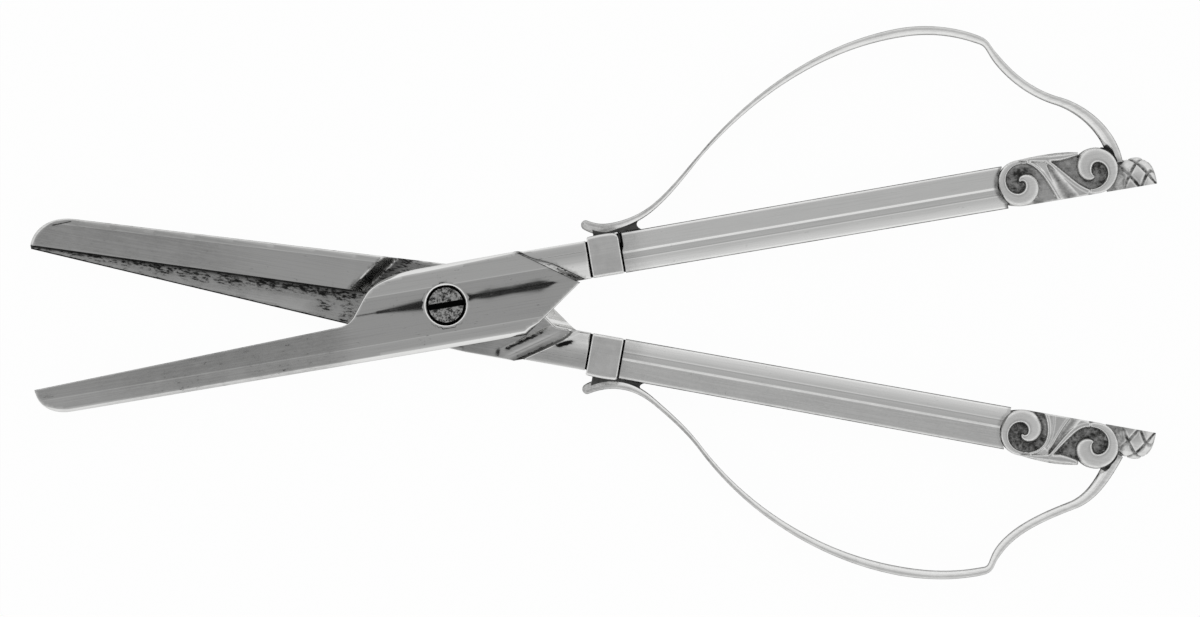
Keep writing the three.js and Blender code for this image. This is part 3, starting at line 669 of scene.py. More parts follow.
@dataclass
class Part:
    """A piece of one half: it builds its own skin, and every part is dressed and carried alike."""

    half: Half

    kind: ClassVar[str]
    form: ClassVar[str]
    slot: ClassVar[Slot] = Slot.SILVER
    finish: ClassVar[MetalFinish] = SATIN_SILVER
    sharp_angle: ClassVar[float] = 38.0

    @property
    def node(self) -> str:
        """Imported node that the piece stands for."""
        return f"{self.half.value}_{self.kind}"

    @property
    def name(self) -> str:
        """Name of the finished piece."""
        return f"{self.node}_{self.form}"

    @property
    def body(self) -> str:
        """Body that the piece rides on."""
        return self.half.body

    def build(self) -> Skin:
        """Builds the piece's skin in the half's frame."""
        raise NotImplementedError

    def dress(self) -> None:
        """Makes the finished piece."""
        self.make(self.build(), self.name, self.node)

    def make(self, skin: Skin, name: str, node: str) -> None:
        """Turns a skin into a piece, finished and riding on its body.

        Args:
            skin: closed mesh in the half's frame.
            name: name of the new object.
            node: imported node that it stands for.
        """
        mesh = bpy.data.meshes.new(name)
        mesh.from_pydata(self.half.place(skin.points).tolist(), [], skin.faces)
        own = mesh.attributes.new("half_mm", "FLOAT_VECTOR", "POINT")
        own.data.foreach_set("vector", skin.points.astype(np.float32).reshape(-1))
        deep = mesh.attributes.new("hollow", "FLOAT", "POINT")
        deep.data.foreach_set("value", np.clip(skin.hollow, 0, MOST_DIRT).astype(np.float32))
        shape = bmesh.new()
        shape.from_mesh(mesh)
        bmesh.ops.recalc_face_normals(shape, faces=shape.faces)
        shape.to_mesh(mesh)
        shape.free()
        mesh.polygons.foreach_set("use_smooth", [True] * len(mesh.polygons))
        mesh.set_sharp_from_angle(angle=math.radians(self.sharp_angle))
        mesh.materials.append(self.finish.material())
        made = bpy.data.objects.new(name, mesh)
        bpy.context.scene.collection.objects.link(made)
        even = made.modifiers.new("even_shading", "WEIGHTED_NORMAL")
        even.keep_sharp = True
        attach(made, self.body)
        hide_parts(node)
        log.info("%s: %d points, %d faces", name, len(mesh.vertices), len(mesh.polygons))


def stub(start: float, end: float, low: float, high: float, half: float) -> Skin:
    """A dirty square bar that closes the gap between two pieces on a tang.

    Args:
        start: end of the bar nearer the pivot.
        end: its other end.
        low: its inner side.
        high: its outer side.
        half: half its thickness.

    Returns:
        The bar's skin.
    """
    corners = ((low, -half), (high, -half), (high, half), (low, half))
    rings = np.array([[(u, v, z) for v, z in corners] for u in (start, end)])
    return loft(rings, np.full(rings.shape[:2], PACKED_DIRT))


@dataclass(frozen=True)
class BladeSizes:
    """Sizes that the two blades share."""

    plate_back: float = 6.1
    plate_front: float = 6.08
    plate_front_slope: float = 0.54
    lower_front: float = 6.45
    arrow_tip: float = 20.4
    arrow_angle: float = 35.0
    arrow_trim: float = 1.1
    ramp_run: float = 1.7
    nest_gap: float = 0.2
    wall_gap: float = 0.4
    front_undercut: float = 0.45
    floor: float = 0.05
    front_bevel_line: float = 2.9
    back_bevel_line: float = -4.05
    front_bevel_fall: float = 0.15
    back_bevel_fall: float = 0.125
    crest_line: float = 0.6
    crest_fall: float = 0.05
    arris: float = 0.016
    arris_width: float = 0.17
    tip: float = -63.0
    tip_thickness: float = 1.1
    edge_at_pivot: float = -0.05
    edge_slope: float = 2.1
    nose: float = 5.0
    nose_fullness: float = 0.6
    shoulder: float = -14.3
    shoulder_angle: float = 53.0
    shoulder_ease: float = 3.4
    shoulder_crest: float = 7.0
    shoulder_fillet: float = 1.5
    raised_step: float = -0.05
    raised_slope: float = 3.2
    raised_bevel: float = 1.05
    raised_fall: float = 0.125
    flange_step: float = 0.23
    flange_slope: float = 3.3
    inner_edge: float = 0.3
    shank_end: float = 22.18
    shank_outer: float = 6.0
    shank_ridge: float = 2.2
    shank_crest: float = 4.45
    inner_curved: float = 2.2
    inner_straight: float = 2.6
    inner_slope: float = 0.13
    inner_curve: float = 0.0625
    inner_steep: float = 0.405
    outer_curved: float = 3.0
    outer_slope: float = 0.14
    outer_curve: float = 0.03
    ridge_bead: float = 0.012
    ridge_bead_width: float = 0.08
    step_lead: float = 0.06
    step_least: float = 0.22
    step_growth: float = 0.62
    point_start: float = 16.7
    point_fall: float = 0.045
    flute_start: float = 2.35
    flute_rise: float = 0.42
    flute_length: float = 0.84
    lip: float = 0.07
    lip_place: float = 0.8
    lip_width: float = 0.24
    end_wall_start: float = 0.08
    end_wall_run: float = 0.54
    neck_end: float = 23.2
    neck_inset: float = 0.12
    neck_half: float = 0.75
    bore: float = 1.5

    @property
    def ramp_places(self) -> tuple[float, ...]:
        """Distances past the arrow's edge at which the mesh follows the flute and the wall."""
        return (-2.5, -2.4, -2.32, -2.25, -2.15, -2.05, -1.95, -1.85, -1.75, -1.6, -1.45, -1.3, -1.15, -1.0,
                -0.9, -0.8, -0.7, -0.6, -0.5, -0.4, -0.3, -0.2, -0.1, 0.0, 0.08, 0.15, 0.22, 0.29, 0.36, 0.43,
                0.5, 0.57, 0.64, 0.75)

    @property
    def arrow_run(self) -> float:
        """How far the arrow's nesting wall leans, along u."""
        return self.ramp_run / math.sin(math.radians(self.arrow_angle))

    @property
    def shoulder_run(self) -> float:
        """How far the shoulder's nesting wall leans, along u."""
        return self.ramp_run / math.sin(math.radians(self.shoulder_angle))

    @property
    def back(self) -> Line:
        """The straight back edge."""
        return Line(0.0, -self.plate_back, 0.0)

    @property
    def edge(self) -> Line:
        """The cutting line."""
        return Line(0.0, self.edge_at_pivot, self.edge_slope)

    @property
    def step_line(self) -> Line:
        """Where the lower blade steps from its raised back to its flange."""
        return Line(0.0, -self.edge_at_pivot - self.nest_gap, -self.edge_slope)

    @property
    def raised_back(self) -> Line:
        """Outer edge of the lower blade's raised back."""
        return Line(0.0, self.raised_step - self.plate_back, -self.raised_slope)

    @property
    def flange_edge(self) -> Line:
        """Outer edge of the lower blade's flange."""
        return Line(0.0, self.lower_front - self.flange_step, self.flange_slope)

    @property
    def arrow_edge(self) -> Line:
        """The arrow's handle-side edge, from its point."""
        return Line(self.arrow_tip, 0.0, 180.0 - self.arrow_angle)

    def arrow_place(self, plan: Points) -> tuple[np.ndarray, np.ndarray]:
        """Distance past the arrow's handle-side edge, and distance along it from the point."""
        return -self.arrow_edge.left_of(plan), self.arrow_edge.along(plan)

    def step_width(self, along: np.ndarray) -> np.ndarray:
        """Width of the step down from the arrow to the shank, which grows towards the point."""
        return self.step_least + self.step_growth * smooth((8.8 - along) / 4.5)

    def thickness(self, u: np.ndarray) -> np.ndarray:
        """Shear plane to face, thinning to the tip."""
        share = np.clip((u - self.tip) / (self.shoulder - self.tip), 0.0, 1.0)
        return self.tip_thickness + (HALF_THICKNESS - self.tip_thickness) * share

    def shank_face(self, plan: Points) -> np.ndarray:
        """Height of the shank's faces: a rounded outer facet, a low ridge and a hollow inner facet."""
        inward = self.shank_crest - plan[:, 1]
        near, out = np.clip(inward, 0.0, self.inner_curved), np.clip(-inward, 0.0, self.outer_curved)
        straight = np.clip(inward - self.inner_curved, 0.0, self.inner_straight)
        inner = self.inner_slope * near + self.inner_curve * near ** 2 + self.inner_steep * straight
        outer = self.shank_ridge - inner - self.outer_slope * out - self.outer_curve * out ** 2
        return outer + self.ridge_bead * bump(inward, self.ridge_bead_width)

    def nose_points(self, edge: Line, back: Line, longer: float = 0.0) -> Points:
        """The blade's nose, from the edge at the tip round to the back."""
        tip, start = Line(self.tip, 0.0, 90.0), Line(self.tip + self.nose + longer, 0.0, 90.0)
        a, b, corner = edge.cross(tip), back.cross(start), back.cross(tip)
        full = self.nose_fullness
        return bezier(a, a + (corner - a) * full, b + (corner - b) * full, b, steps=24)

    def arrow_points(self, run: float, front: Line) -> list[Points]:
        """The plate's point and the shank, from the back corner round to the front."""
        tip, inner = self.arrow_tip, self.inner_edge
        rise = inner / math.tan(math.radians(self.arrow_angle))
        return [
            Line(tip - run, 0.0, self.arrow_angle).cross(self.back),
            np.array([tip - run, 0.0]),
            np.array([tip - rise - max(0.0, run - 1.0), inner]),
            np.array([self.shank_end, inner]),
            np.array([self.shank_end, self.shank_outer]),
            Line(tip + 0.9, 0.0, -self.arrow_angle).cross(Line(0.0, self.shank_outer, 0.0)),
            Line(tip + 0.3, 0.0, -self.arrow_angle).cross(front),
        ]

    def crown(self, plan: Points, crest_ease: np.ndarray) -> np.ndarray:
        """Height of a plate's face: a low crest along its middle between two bevels.

        Args:
            plan: rows of u, v.
            crest_ease: how widely the crest is rounded at each row.

        Returns:
            Height over the shear plane at each row.
        """
        u, v = plan[:, 0], plan[:, 1]
        crest = self.crest_fall * ridge(v - self.crest_line, crest_ease)
        crest += self.point_fall * ramp(u - self.point_start, 0.3)
        past_front, past_back = v - self.front_bevel_line, self.back_bevel_line - v
        front = (self.front_bevel_fall - self.crest_fall) * ramp(past_front, 0.05)
        back = (self.back_bevel_fall - self.crest_fall) * ramp(past_back, 0.05)
        arris = self.arris * (smooth(past_front / self.arris_width) + smooth(past_back / self.arris_width))
        return self.thickness(u) - crest - front - back - arris

    def shear_side(self, plan: Points, relief: float = 0.0) -> np.ndarray:
        """Height of the shear face, with the flute and the wall that rise to the shank's far face.

        Args:
            plan: rows of u, v.
            relief: how fast the face is ground away from the shear plane towards the handle.

        Returns:
            Height in the half's own z.
        """
        past, along = self.arrow_place(plan)
        face = self.floor + relief * np.clip(plan[:, 0] - 3.5, 0.0, 14.0)
        run = smooth((13.2 - along) / 3.2) * smooth((along - 0.2) / 6.0)
        flute = self.flute_rise * (1.0 - np.exp(-ramp(past + self.flute_start, 0.03) / self.flute_length))
        flute = run * (flute + self.lip * bump(past + self.lip_place, self.lip_width))
        near_point = 0.55 * smooth((3.2 - along) / 2.6)
        wall = smooth((past + near_point - self.end_wall_start) / self.end_wall_run)
        return (face - flute) * (1 - wall) - self.shank_face(plan) * wall

    def plate_side(self, plan: Points, crest_ease: np.ndarray) -> np.ndarray:
        """Height of the plate's face, stepping down to the shank past the arrow."""
        past, along = self.arrow_place(plan)
        step = smooth((past + self.step_lead) / self.step_width(along))
        return self.crown(plan, crest_ease) * (1 - step) + self.shank_face(plan) * step

    def arrow_lines(self, offsets: Sequence[float]) -> list[Points]:
        """Runs of points along the arrow's handle-side edge."""
        return [self.arrow_edge.beside(-off, -1.0, 12.0, 66) for off in offsets]

    def arris_lines(self) -> list[Points]:
        """Runs of points along the edges between facets, so that the mesh follows them."""
        offsets = (-0.04, 0.0, 0.05, 0.09, 0.14, 0.2)
        front, back = Line(0.0, self.front_bevel_line, 0.0), Line(0.0, self.back_bevel_line, 0.0)
        runs = [front.beside(off, low, high, 70) for off in offsets
                for low, high in ((-16.0, -1.7), (1.7, 18.0))]
        runs += [back.beside(-off, -62.0, 18.0, 200) for off in offsets]
        runs += [Line(0.0, self.crest_line, 0.0).beside(off, -15.0, -10.6, 24) for off in (-0.03, 0.03)]
        return runs + self.shank_lines()

    def shank_lines(self) -> list[Points]:
        """Runs of points along the shank's ridge."""
        crest = Line(0.0, self.shank_crest, 0.0)
        return [crest.beside(off, 15.5, 22.0, 16) for off in (-0.16, -0.1, -0.05, 0.0, 0.05, 0.1, 0.16)]

    def painted_step_shade(self, plan: Points) -> np.ndarray:
        """Painted shade where the arrow steps down to the shank: dark lines at the top and foot of the step,
        and the slope darkened in place of its bright reflection, joined near the point.
        """
        past, along = self.arrow_place(plan)
        foot = self.step_width(along) - self.step_lead
        lines = 1.35 * np.maximum(bump(past + 0.05, 0.08), bump(past - foot, 0.13))
        band = smooth((past + self.step_lead) / self.step_lead) * smooth((foot + 0.1 - past) / 0.1)
        return np.maximum(lines, band * (0.86 + 0.26 * smooth((3.4 - along) / 1.4)))

    def neck(self) -> Skin:
        """The tang's root, which closes the gap between shank and collar."""
        return stub(self.shank_end - 0.12, self.neck_end, self.inner_edge + self.neck_inset,
                    self.shank_outer - self.neck_inset, self.neck_half)


@dataclass
class PlainBlade(Part):
    """The upper half's blade, plate and shank, with the screw's sunk seat."""

    kind, name = "blade", "plain_blade"
    slot, finish = Slot.BLADE, PLATED_STEEL

    half: Half = Half.UPPER
    sizes: BladeSizes = BladeSizes(plate_back=6.45)
    seat_radius: float = 2.95
    seat: float = 1.28
    seat_bevel: float = 0.27
    shear_film: float = 0.45

    def outline(self, shoulder_run: float, arrow_run: float, undercut: float = 0.0) -> Points:
        """Outline in plan, with its two nesting walls set back by a run and its front by an undercut."""
        s = self.sizes
        front = Line(0.0, s.plate_front - undercut, s.plate_front_slope)
        shoulder = Line(s.shoulder + shoulder_run, 0.0, s.shoulder_angle)
        crest, foot = shoulder.cross(front), shoulder.cross(s.edge)
        along, up = heading(s.plate_front_slope), heading(s.shoulder_angle)
        ease = bezier(crest + along * s.shoulder_crest, crest, crest - up * s.shoulder_ease, steps=16)
        fillet = bezier(foot + up * s.shoulder_fillet, foot,
                        foot - heading(s.edge_slope) * s.shoulder_fillet, steps=8)
        return np.vstack([s.nose_points(s.edge, s.back), s.arrow_points(arrow_run, front), ease, fillet])

    def crest_ease(self, plan: Points) -> np.ndarray:
        """How widely the crest is rounded: sharp along the blade, fuller round the screw and the point."""
        knots = (-11.2, -3.0, 2.9, 4.2, 6.4, 10.0, 14.3, 16.9)
        swell = (0.02, 1.25, 1.1, 0.45, 0.95, 0.75, 1.15, 0.02)
        return np.interp(plan[:, 0], knots, swell)

    def top(self, plan: Points) -> np.ndarray:
        """Height of the upper face, with the screw's seat sunk in it."""
        face = self.sizes.plate_side(plan, self.crest_ease(plan))
        reach = np.linalg.norm(plan, axis=1) - self.seat_radius
        rim = np.clip(self.seat_bevel - reach, 0.0, 0.3)
        return np.where(reach < -0.005, self.seat, face - rim)

    def hollow(self, points: Points, side: float) -> np.ndarray:
        """Tarnish in the seat and a dull film on blade and shear face, with painted shade at the arrow's step
        and a painted dark line on the cutting edge.
        """
        if side < 0:
            return np.full(len(points), self.shear_film)
        plan = points[:, :2]
        reach = np.linalg.norm(plan, axis=1) - self.seat_radius
        # edge: painted dark line on the side of the cutting edge.
        cutting = (plan[:, 0] < self.sizes.shoulder - 3.0) & (points[:, 2] < self.top(plan) - 0.03)
        edge = np.where(cutting & (plan[:, 1] > -2.9), 1.25, 0.0)
        seat = np.where(reach < 0.01, MOST_DIRT, 0.0)
        dulled = 0.54 * smooth((-13.0 - plan[:, 0]) / 6.0) * (1 - 0.6 * smooth((-46.0 - plan[:, 0]) / 10.0))
        return np.maximum.reduce([self.sizes.painted_step_shade(plan), dulled, seat, edge])

    def rounding(self, plan: Points) -> np.ndarray:
        """Width of the bevelled edge: fullest on the back and front, fine along the cutting edge."""
        u, v = plan[:, 0], plan[:, 1]
        front = np.interp(u, (-11.0, -7.0, -3.0, 6.0, 10.5, 11.5), (0.2, 0.5, 0.64, 0.4, 0.25, 0.16))
        open_edge = np.where(u < self.sizes.shoulder, 0.1, np.where((v > 3.0) & (u < 11.6), front, 0.16))
        back = smooth((1.6 - self.sizes.plate_back - v) / 1.2)
        return open_edge + (np.interp(u, (-63.0, -46.0, 4.0), (0.4, 0.48, 0.64)) - open_edge) * back

    def build(self) -> Skin:
        """Builds the blade's skin."""
        s = self.sizes
        rings = [circle(73, closed=True) * (self.seat_radius + off)
                 for off in (-0.02, 0.0, 0.02, 0.14, 0.26, 0.28)]
        return Relief(
            upper=self.outline(0.0, 0.0), lower=self.outline(s.shoulder_run, s.arrow_run, s.front_undercut),
            top=self.top, bottom=s.shear_side, hollow=self.hollow, rounding=self.rounding,
            top_lines=rings + s.arris_lines() + s.arrow_lines(
                (-0.16, -0.1, -0.06, -0.02, 0.03, 0.08, 0.14, 0.2, 0.28, 0.36, 0.46, 0.56, 0.66, 0.76, 0.88)),
            bottom_lines=s.shank_lines() + s.arrow_lines(s.ramp_places),
            bevel=1.54, arcs=6, hole=s.bore).skin().joined(s.neck())


@dataclass
class FlangedBlade(Part):
    """The lower half's blade: a raised back, a sunk flange, the plate and the shank."""

    kind, name = "blade", "flanged_blade"
    slot, finish = Slot.BLADE, PLATED_STEEL

    half: Half = Half.LOWER
    sizes: BladeSizes = BladeSizes()
    mark: Line = Line(18.5, 2.62, -24.2)
    stroke: Line = Line(-58.9, -2.0, -21.7)
    ground_reach: float = 7.0
    ground_slope: float = 0.18
    ground_curve: float = 0.012
    plate_relief: float = 0.05
    raised_inner_fall: float = 0.05
    heel_fall: float = 0.035
    step_offset: float = 0.02
    step_run: float = 0.12
    worn: tuple[tuple[float, float], ...] = (
        (0.0, 1.12), (0.08, 1.09), (0.16, 1.05), (0.3, 0.97), (0.5, 0.88), (0.7, 0.66), (0.85, 0.42),
        (1.0, 0.3))

    def outline(self, arrow_run: float) -> Points:
        """Outline in plan of flange, back, plate and shank."""
        s = self.sizes
        front = Line(0.0, s.lower_front, 0.0)
        return np.vstack([
            s.nose_points(s.step_line, s.raised_back, 0.9),
            s.raised_back.cross(s.back),
            s.arrow_points(arrow_run, front),
            s.flange_edge.cross(front),
            s.flange_edge.cross(Line(s.tip + s.nest_gap, 0.0, 90.0)),
        ])

    def wall_run(self, plan: Points) -> np.ndarray:
        """How far points lie past the crest of the sloped wall, along u."""
        s = self.sizes
        lean = math.tan(math.radians(s.shoulder_angle))
        gap = s.wall_gap / math.sin(math.radians(s.shoulder_angle))
        return plan[:, 0] - s.shoulder + gap + plan[:, 1] / lean

    def face_up(self, plan: Points) -> np.ndarray:
        """Height of the side that faces up as the shears lie, in the half's own z."""
        s = self.sizes
        inward = np.clip(-s.flange_edge.left_of(plan), 0.0, self.ground_reach)
        ground = self.ground_slope * inward - self.ground_curve * inward ** 2
        floor = s.shear_side(plan, self.plate_relief) + smooth((-7.0 - plan[:, 0]) / 3.0) * ground
        inside = s.raised_back.left_of(plan) - s.raised_bevel
        crown = s.thickness(plan[:, 0]) - s.raised_fall * ramp(-inside, 0.04)
        crown -= self.raised_inner_fall * ramp(inside, 0.04)
        crown -= self.heel_fall * (ramp(-10.5 - plan[:, 0], 0.2) - ramp(-16.0 - plan[:, 0], 0.4))
        crown -= s.arris * smooth(-inside / s.arris_width)
        wall = HALF_THICKNESS - HALF_THICKNESS * self.wall_run(plan) / s.shoulder_run
        raised = np.minimum(crown, np.maximum(wall, -s.floor))
        below = s.step_line.left_of(plan)
        share = smooth(-(below + self.step_offset) / self.step_run)
        return np.where(plan[:, 0] < 4.0, floor * (1 - share) - raised * share, floor)

    def face_down(self, plan: Points) -> np.ndarray:
        """Height of the side that the shears lie on."""
        return self.sizes.plate_side(plan, np.full(len(plan), 0.5))

    def flange_share(self, plan: Points) -> np.ndarray:
        """How far points belong to the blade and not to the plate, from 0 to 1."""
        return smooth((-9.0 - plan[:, 0]) / 6.0)

    def ground_film(self, plan: Points) -> np.ndarray:
        """Film on the ground hollow: thick under the step, thin at the outer edge, with two dull patches."""
        s = self.sizes
        sheltered = np.clip(s.step_line.left_of(plan), 0.0, None)
        exposed = np.clip(-s.flange_edge.left_of(plan), 0.0, None)
        share = sheltered / np.maximum(sheltered + exposed, 1e-6)
        place = (plan[:, 0] - s.tip) / (s.shoulder - s.tip)
        film = np.interp(share, *zip(*self.worn))
        film *= 1.0 - 0.7 * smooth((place - 0.55) / 0.35) * smooth((share - 0.25) / 0.4)
        film += 0.1 * bump(place - 0.45, 0.2) * smooth((share - 0.35) / 0.2)
        patch = 1.02 * bump(np.hypot(plan[:, 0] + 17.6, (plan[:, 1] - 3.3) * 1.3), 3.0)
        shoulder = 0.92 * smooth((place - 0.93) / 0.06)
        return np.maximum.reduce([film, patch, shoulder])

    def sunk_film_and_shade(self, plan: Points, sunk: np.ndarray) -> np.ndarray:
        """Darkening below the raised back: tarnish on the flange, painted shade on the plate near the sloped
        wall, a painted shadow in the corner of the step, and darker along the rim.

        Args:
            plan: rows of u, v.
            sunk: how far each row lies below the raised back, from 0 to 1.

        Returns:
            How dark each row is painted.
        """
        s = self.sizes
        below, flange = s.step_line.left_of(plan), self.flange_share(plan)
        # Painted shade on the plate, darkest near the sloped wall.
        painted_shade_near_wall = 0.42 + 0.72 * bump(self.wall_run(plan) - 2.8, 3.4) * (below < 0.3)
        plate = painted_shade_near_wall * (1 - 0.8 * smooth((plan[:, 0] - 3.0) / 8.0)) + 0.05
        shade = sunk * (plate * (1 - flange) + self.ground_film(plan) * flange)
        # corner: painted shadow along the step, on the plate and flange under the raised back.
        corner = 1.25 * bump(np.clip(below - 0.1, 0.0, None), 0.28) * (below > -0.3) * flange
        rim = 1.3 * smooth((0.32 + s.flange_edge.left_of(plan)) / 0.14) * flange
        return np.maximum(shade, np.maximum(corner, rim) * sunk)

    def painted_wall_shade(self, plan: Points, shade: np.ndarray) -> np.ndarray:
        """Lays painted shade on the sloped wall, standing in for the dark reflection it shows, and a painted
        dark line along its crest, over a shade.
        """
        run, below = self.wall_run(plan), self.sizes.step_line.left_of(plan)
        wall = smooth((run + 0.1) / 0.2) * smooth((2.5 - run) / 0.3) * smooth(-below / 0.2)
        crest = 1.15 * bump(run - 0.1, 0.16) * smooth(-below / 0.2)
        return np.maximum.reduce([shade * (1 - wall), 0.72 * wall, crest])

    def back_film_and_edge_shade(self, plan: Points, sunk: np.ndarray) -> np.ndarray:
        """Film on the raised back, which grows towards the tip, and a painted dark line along its outer edge.
        """
        s = self.sizes
        # edge: painted dark line along the raised back's outer edge, over its highlight.
        edge = 0.78 * smooth((0.16 - s.raised_back.left_of(plan)) / 0.1) * self.flange_share(plan)
        back = 0.42 * smooth((-24.0 - plan[:, 0]) / 16.0) * (1 - sunk) * (s.step_line.left_of(plan) < -0.2)
        return np.maximum(edge, back)

    def flute_shade_and_shank_film(self, plan: Points) -> np.ndarray:
        """Painted shade in the flute, darkest at its upper edge as a painted dark reflection, painted shade
        in the groove at the plate's end, and the dull shank past them.
        """
        past, along = self.sizes.arrow_place(plan)
        fade = smooth((11.9 - along) / 0.8) * (0.3 + 0.7 * smooth((along - 2.5) / 5.0))
        fade = fade * smooth((along - 2.2) / 3.0)
        # core and slope: painted dark reflection down the flute; groove: painted shade in the groove.
        core = 1.3 * bump(past + 1.9, 0.42)
        slope = 0.95 * smooth((past + self.sizes.flute_start) / 0.2) * smooth((-0.85 - past) / 1.2)
        groove = np.maximum(0.85 * smooth((past + 0.65) / 0.7), 1.18 * bump(past - 0.25, 0.26))
        groove = groove * smooth((0.66 - past) / 0.2) * (0.35 + 0.65 * smooth((along - 1.5) / 6.0))
        shank = smooth((past - 0.6) / 0.2) * (0.3 + 0.14 * smooth((plan[:, 1] - 4.0) / 0.6))
        return np.maximum.reduce([np.maximum(core, slope) * fade, groove, shank])

    def scratch_film(self, plan: Points) -> np.ndarray:
        """Dirt in two old marks: an eye-shaped one on the shank and a stroke on the nose."""
        eye = 2.2 * bump(self.mark.along(plan), 1.45) * bump(self.mark.left_of(plan), 0.36)
        stroke = 1.4 * smooth((1.9 - np.abs(self.stroke.along(plan))) / 0.5)
        return np.maximum(eye, stroke * bump(self.stroke.left_of(plan), 0.17))

    def hollow(self, points: Points, side: float) -> np.ndarray:
        """Tarnish deep on the sunk flange, lighter on the plate, faint on the raised back, with painted shade
        at the step, on the sloped wall and in the flute, and painted dark lines along edges.
        """
        plan = points[:, :2]
        if side > 0:
            return self.sizes.painted_step_shade(plan)
        sunk = smooth((points[:, 2] + 0.35) / 0.3)
        shade = self.painted_wall_shade(plan, self.sunk_film_and_shade(plan, sunk))
        return np.maximum.reduce([shade, self.back_film_and_edge_shade(plan, sunk), self.flute_shade_and_shank_film(plan),
                                  self.scratch_film(plan)])

    def rounding(self, plan: Points) -> np.ndarray:
        """Width of the rounded edge: fuller on the back, at the nose and beside the shank."""
        s = self.sizes
        nose = 0.3 * smooth((-59.0 - plan[:, 0]) / 3.0) * (s.step_line.left_of(plan) < -0.3)
        shank = 0.22 * smooth((plan[:, 0] - 11.5) / 2.5) * smooth((2.4 - plan[:, 1]) / 1.0)
        return np.where(s.raised_back.left_of(plan) < 0.4, 0.18, 0.08) + nose + shank

    def build(self) -> Skin:
        """Builds the blade's skin."""
        s = self.sizes
        step = [s.step_line.beside(off, -64.0, -10.0, 150) for off in
                (-0.16, -0.11, -0.06, -0.01, 0.08, 0.2, 0.35, 0.5, 0.65, 0.85)]
        wall = [Line(s.shoulder + off, 0.0, -s.shoulder_angle).beside(0.0, -4.0, 9.0, 40)
                for off in (-0.5, -0.25, 0.0, 0.9, 1.9, 2.1)]
        bevel = [s.raised_back.beside(s.raised_bevel + off, -64.0, -8.0, 150)
                 for off in (-0.2, -0.14, -0.09, -0.05, 0.0, 0.04)]
        rim = [s.flange_edge.beside(-off, -64.0, -8.0, 120) for off in (0.14, 0.24)]
        marks = [self.mark.beside(off, -1.7, 1.7, 14) for off in (-0.36, -0.24, -0.12, 0.0, 0.12, 0.24, 0.36)]
        marks += [self.stroke.beside(off, -2.4, 2.4, 14) for off in (-0.3, -0.18, 0.0, 0.18)]
        turned = Relief(
            upper=self.outline(s.arrow_trim + s.arrow_run), lower=self.outline(s.arrow_trim),
            top=lambda p: -self.face_up(p), bottom=lambda p: -self.face_down(p),
            hollow=lambda p, side: self.hollow(p * np.array([1.0, 1.0, -1.0]), -side),
            rounding=self.rounding, under_rounding=0.25,
            top_lines=step + wall + bevel + rim + marks + s.shank_lines() + s.arrow_lines(s.ramp_places),
            bottom_lines=s.arris_lines() + s.arrow_lines((-0.12, -0.06, 0.05, 0.2, 0.4, 0.6, 0.8)),
            bevel=1.54, arcs=6, hole=s.bore)
        return turned.skin().mirrored().joined(s.neck())


@dataclass
class PivotScrew(Part):
    """The slotted screw: its head lies in the upper plate and its tail is flush below."""

    node, name, body = "pivot_screw", "slotted_screw", Half.LOWER.body
    slot, finish = Slot.SCREW, WORN_SCREW_STEEL

    half: Half = Half.UPPER
    radius: float = 2.65
    sink: float = 0.12
    thickness: float = 1.0
    slot_width: float = 0.86
    slot_depth: float = 0.5
    slot_angle: float = -0.4
    shaft: float = 1.4
    sides: int = 72
    dome_fall: float = 0.012
    edge_rounding: float = 0.14
    mottle: float = 0.97

    @property
    def slot_line(self) -> Line:
        """Middle of the slot."""
        return Line(0.0, 0.0, self.slot_angle)

    def top(self, plan: Points) -> np.ndarray:
        """Height of the head: a low dome with the slot cut across it."""
        across = np.abs(self.slot_line.left_of(plan))
        dome = HALF_THICKNESS - self.sink - self.dome_fall * np.sum(plan ** 2, axis=1)
        cut = smooth((self.slot_width / 2 + 0.03 - across) / 0.06)
        return dome - self.slot_depth * cut

    def hollow(self, points: Points, side: float) -> np.ndarray:
        """Dirt: black in the slot and on the head's side, mottled elsewhere."""
        across = np.abs(self.slot_line.left_of(points[:, :2]))
        slot = smooth((self.slot_width / 2 + 0.05 - across) / 0.08) * (points[:, 2] > 0)
        edge = smooth((np.linalg.norm(points[:, :2], axis=1) - self.radius + 0.06) / 0.05)
        return np.maximum(MOST_DIRT * np.maximum(slot, edge), self.mottle)

    def build(self) -> Skin:
        """Builds the screw's skin: head and shaft."""
        under = HALF_THICKNESS - self.sink - self.thickness
        cuts = [self.slot_line.beside(side * (self.slot_width / 2 + off), -3.0, 3.0, 30)
                for side in (-1.0, 1.0) for off in (-0.04, 0.0, 0.04)]
        turned = circle(self.sides)
        head = Relief(
            upper=turned * self.radius, lower=turned * self.radius, top=self.top, bottom=level(under),
            hollow=self.hollow, rounding=level(self.edge_rounding), step=0.3, spacing=0.2,
            top_lines=cuts).skin()
        stations = ((under + 0.1, self.shaft), (-HALF_THICKNESS + 0.12, self.shaft),
                    (-HALF_THICKNESS + 0.03, self.shaft - 0.03), (-HALF_THICKNESS, self.shaft - 0.12))
        rings = np.array([np.column_stack([turned * r, np.full(self.sides, z)]) for z, r in stations])
        return head.joined(loft(rings))


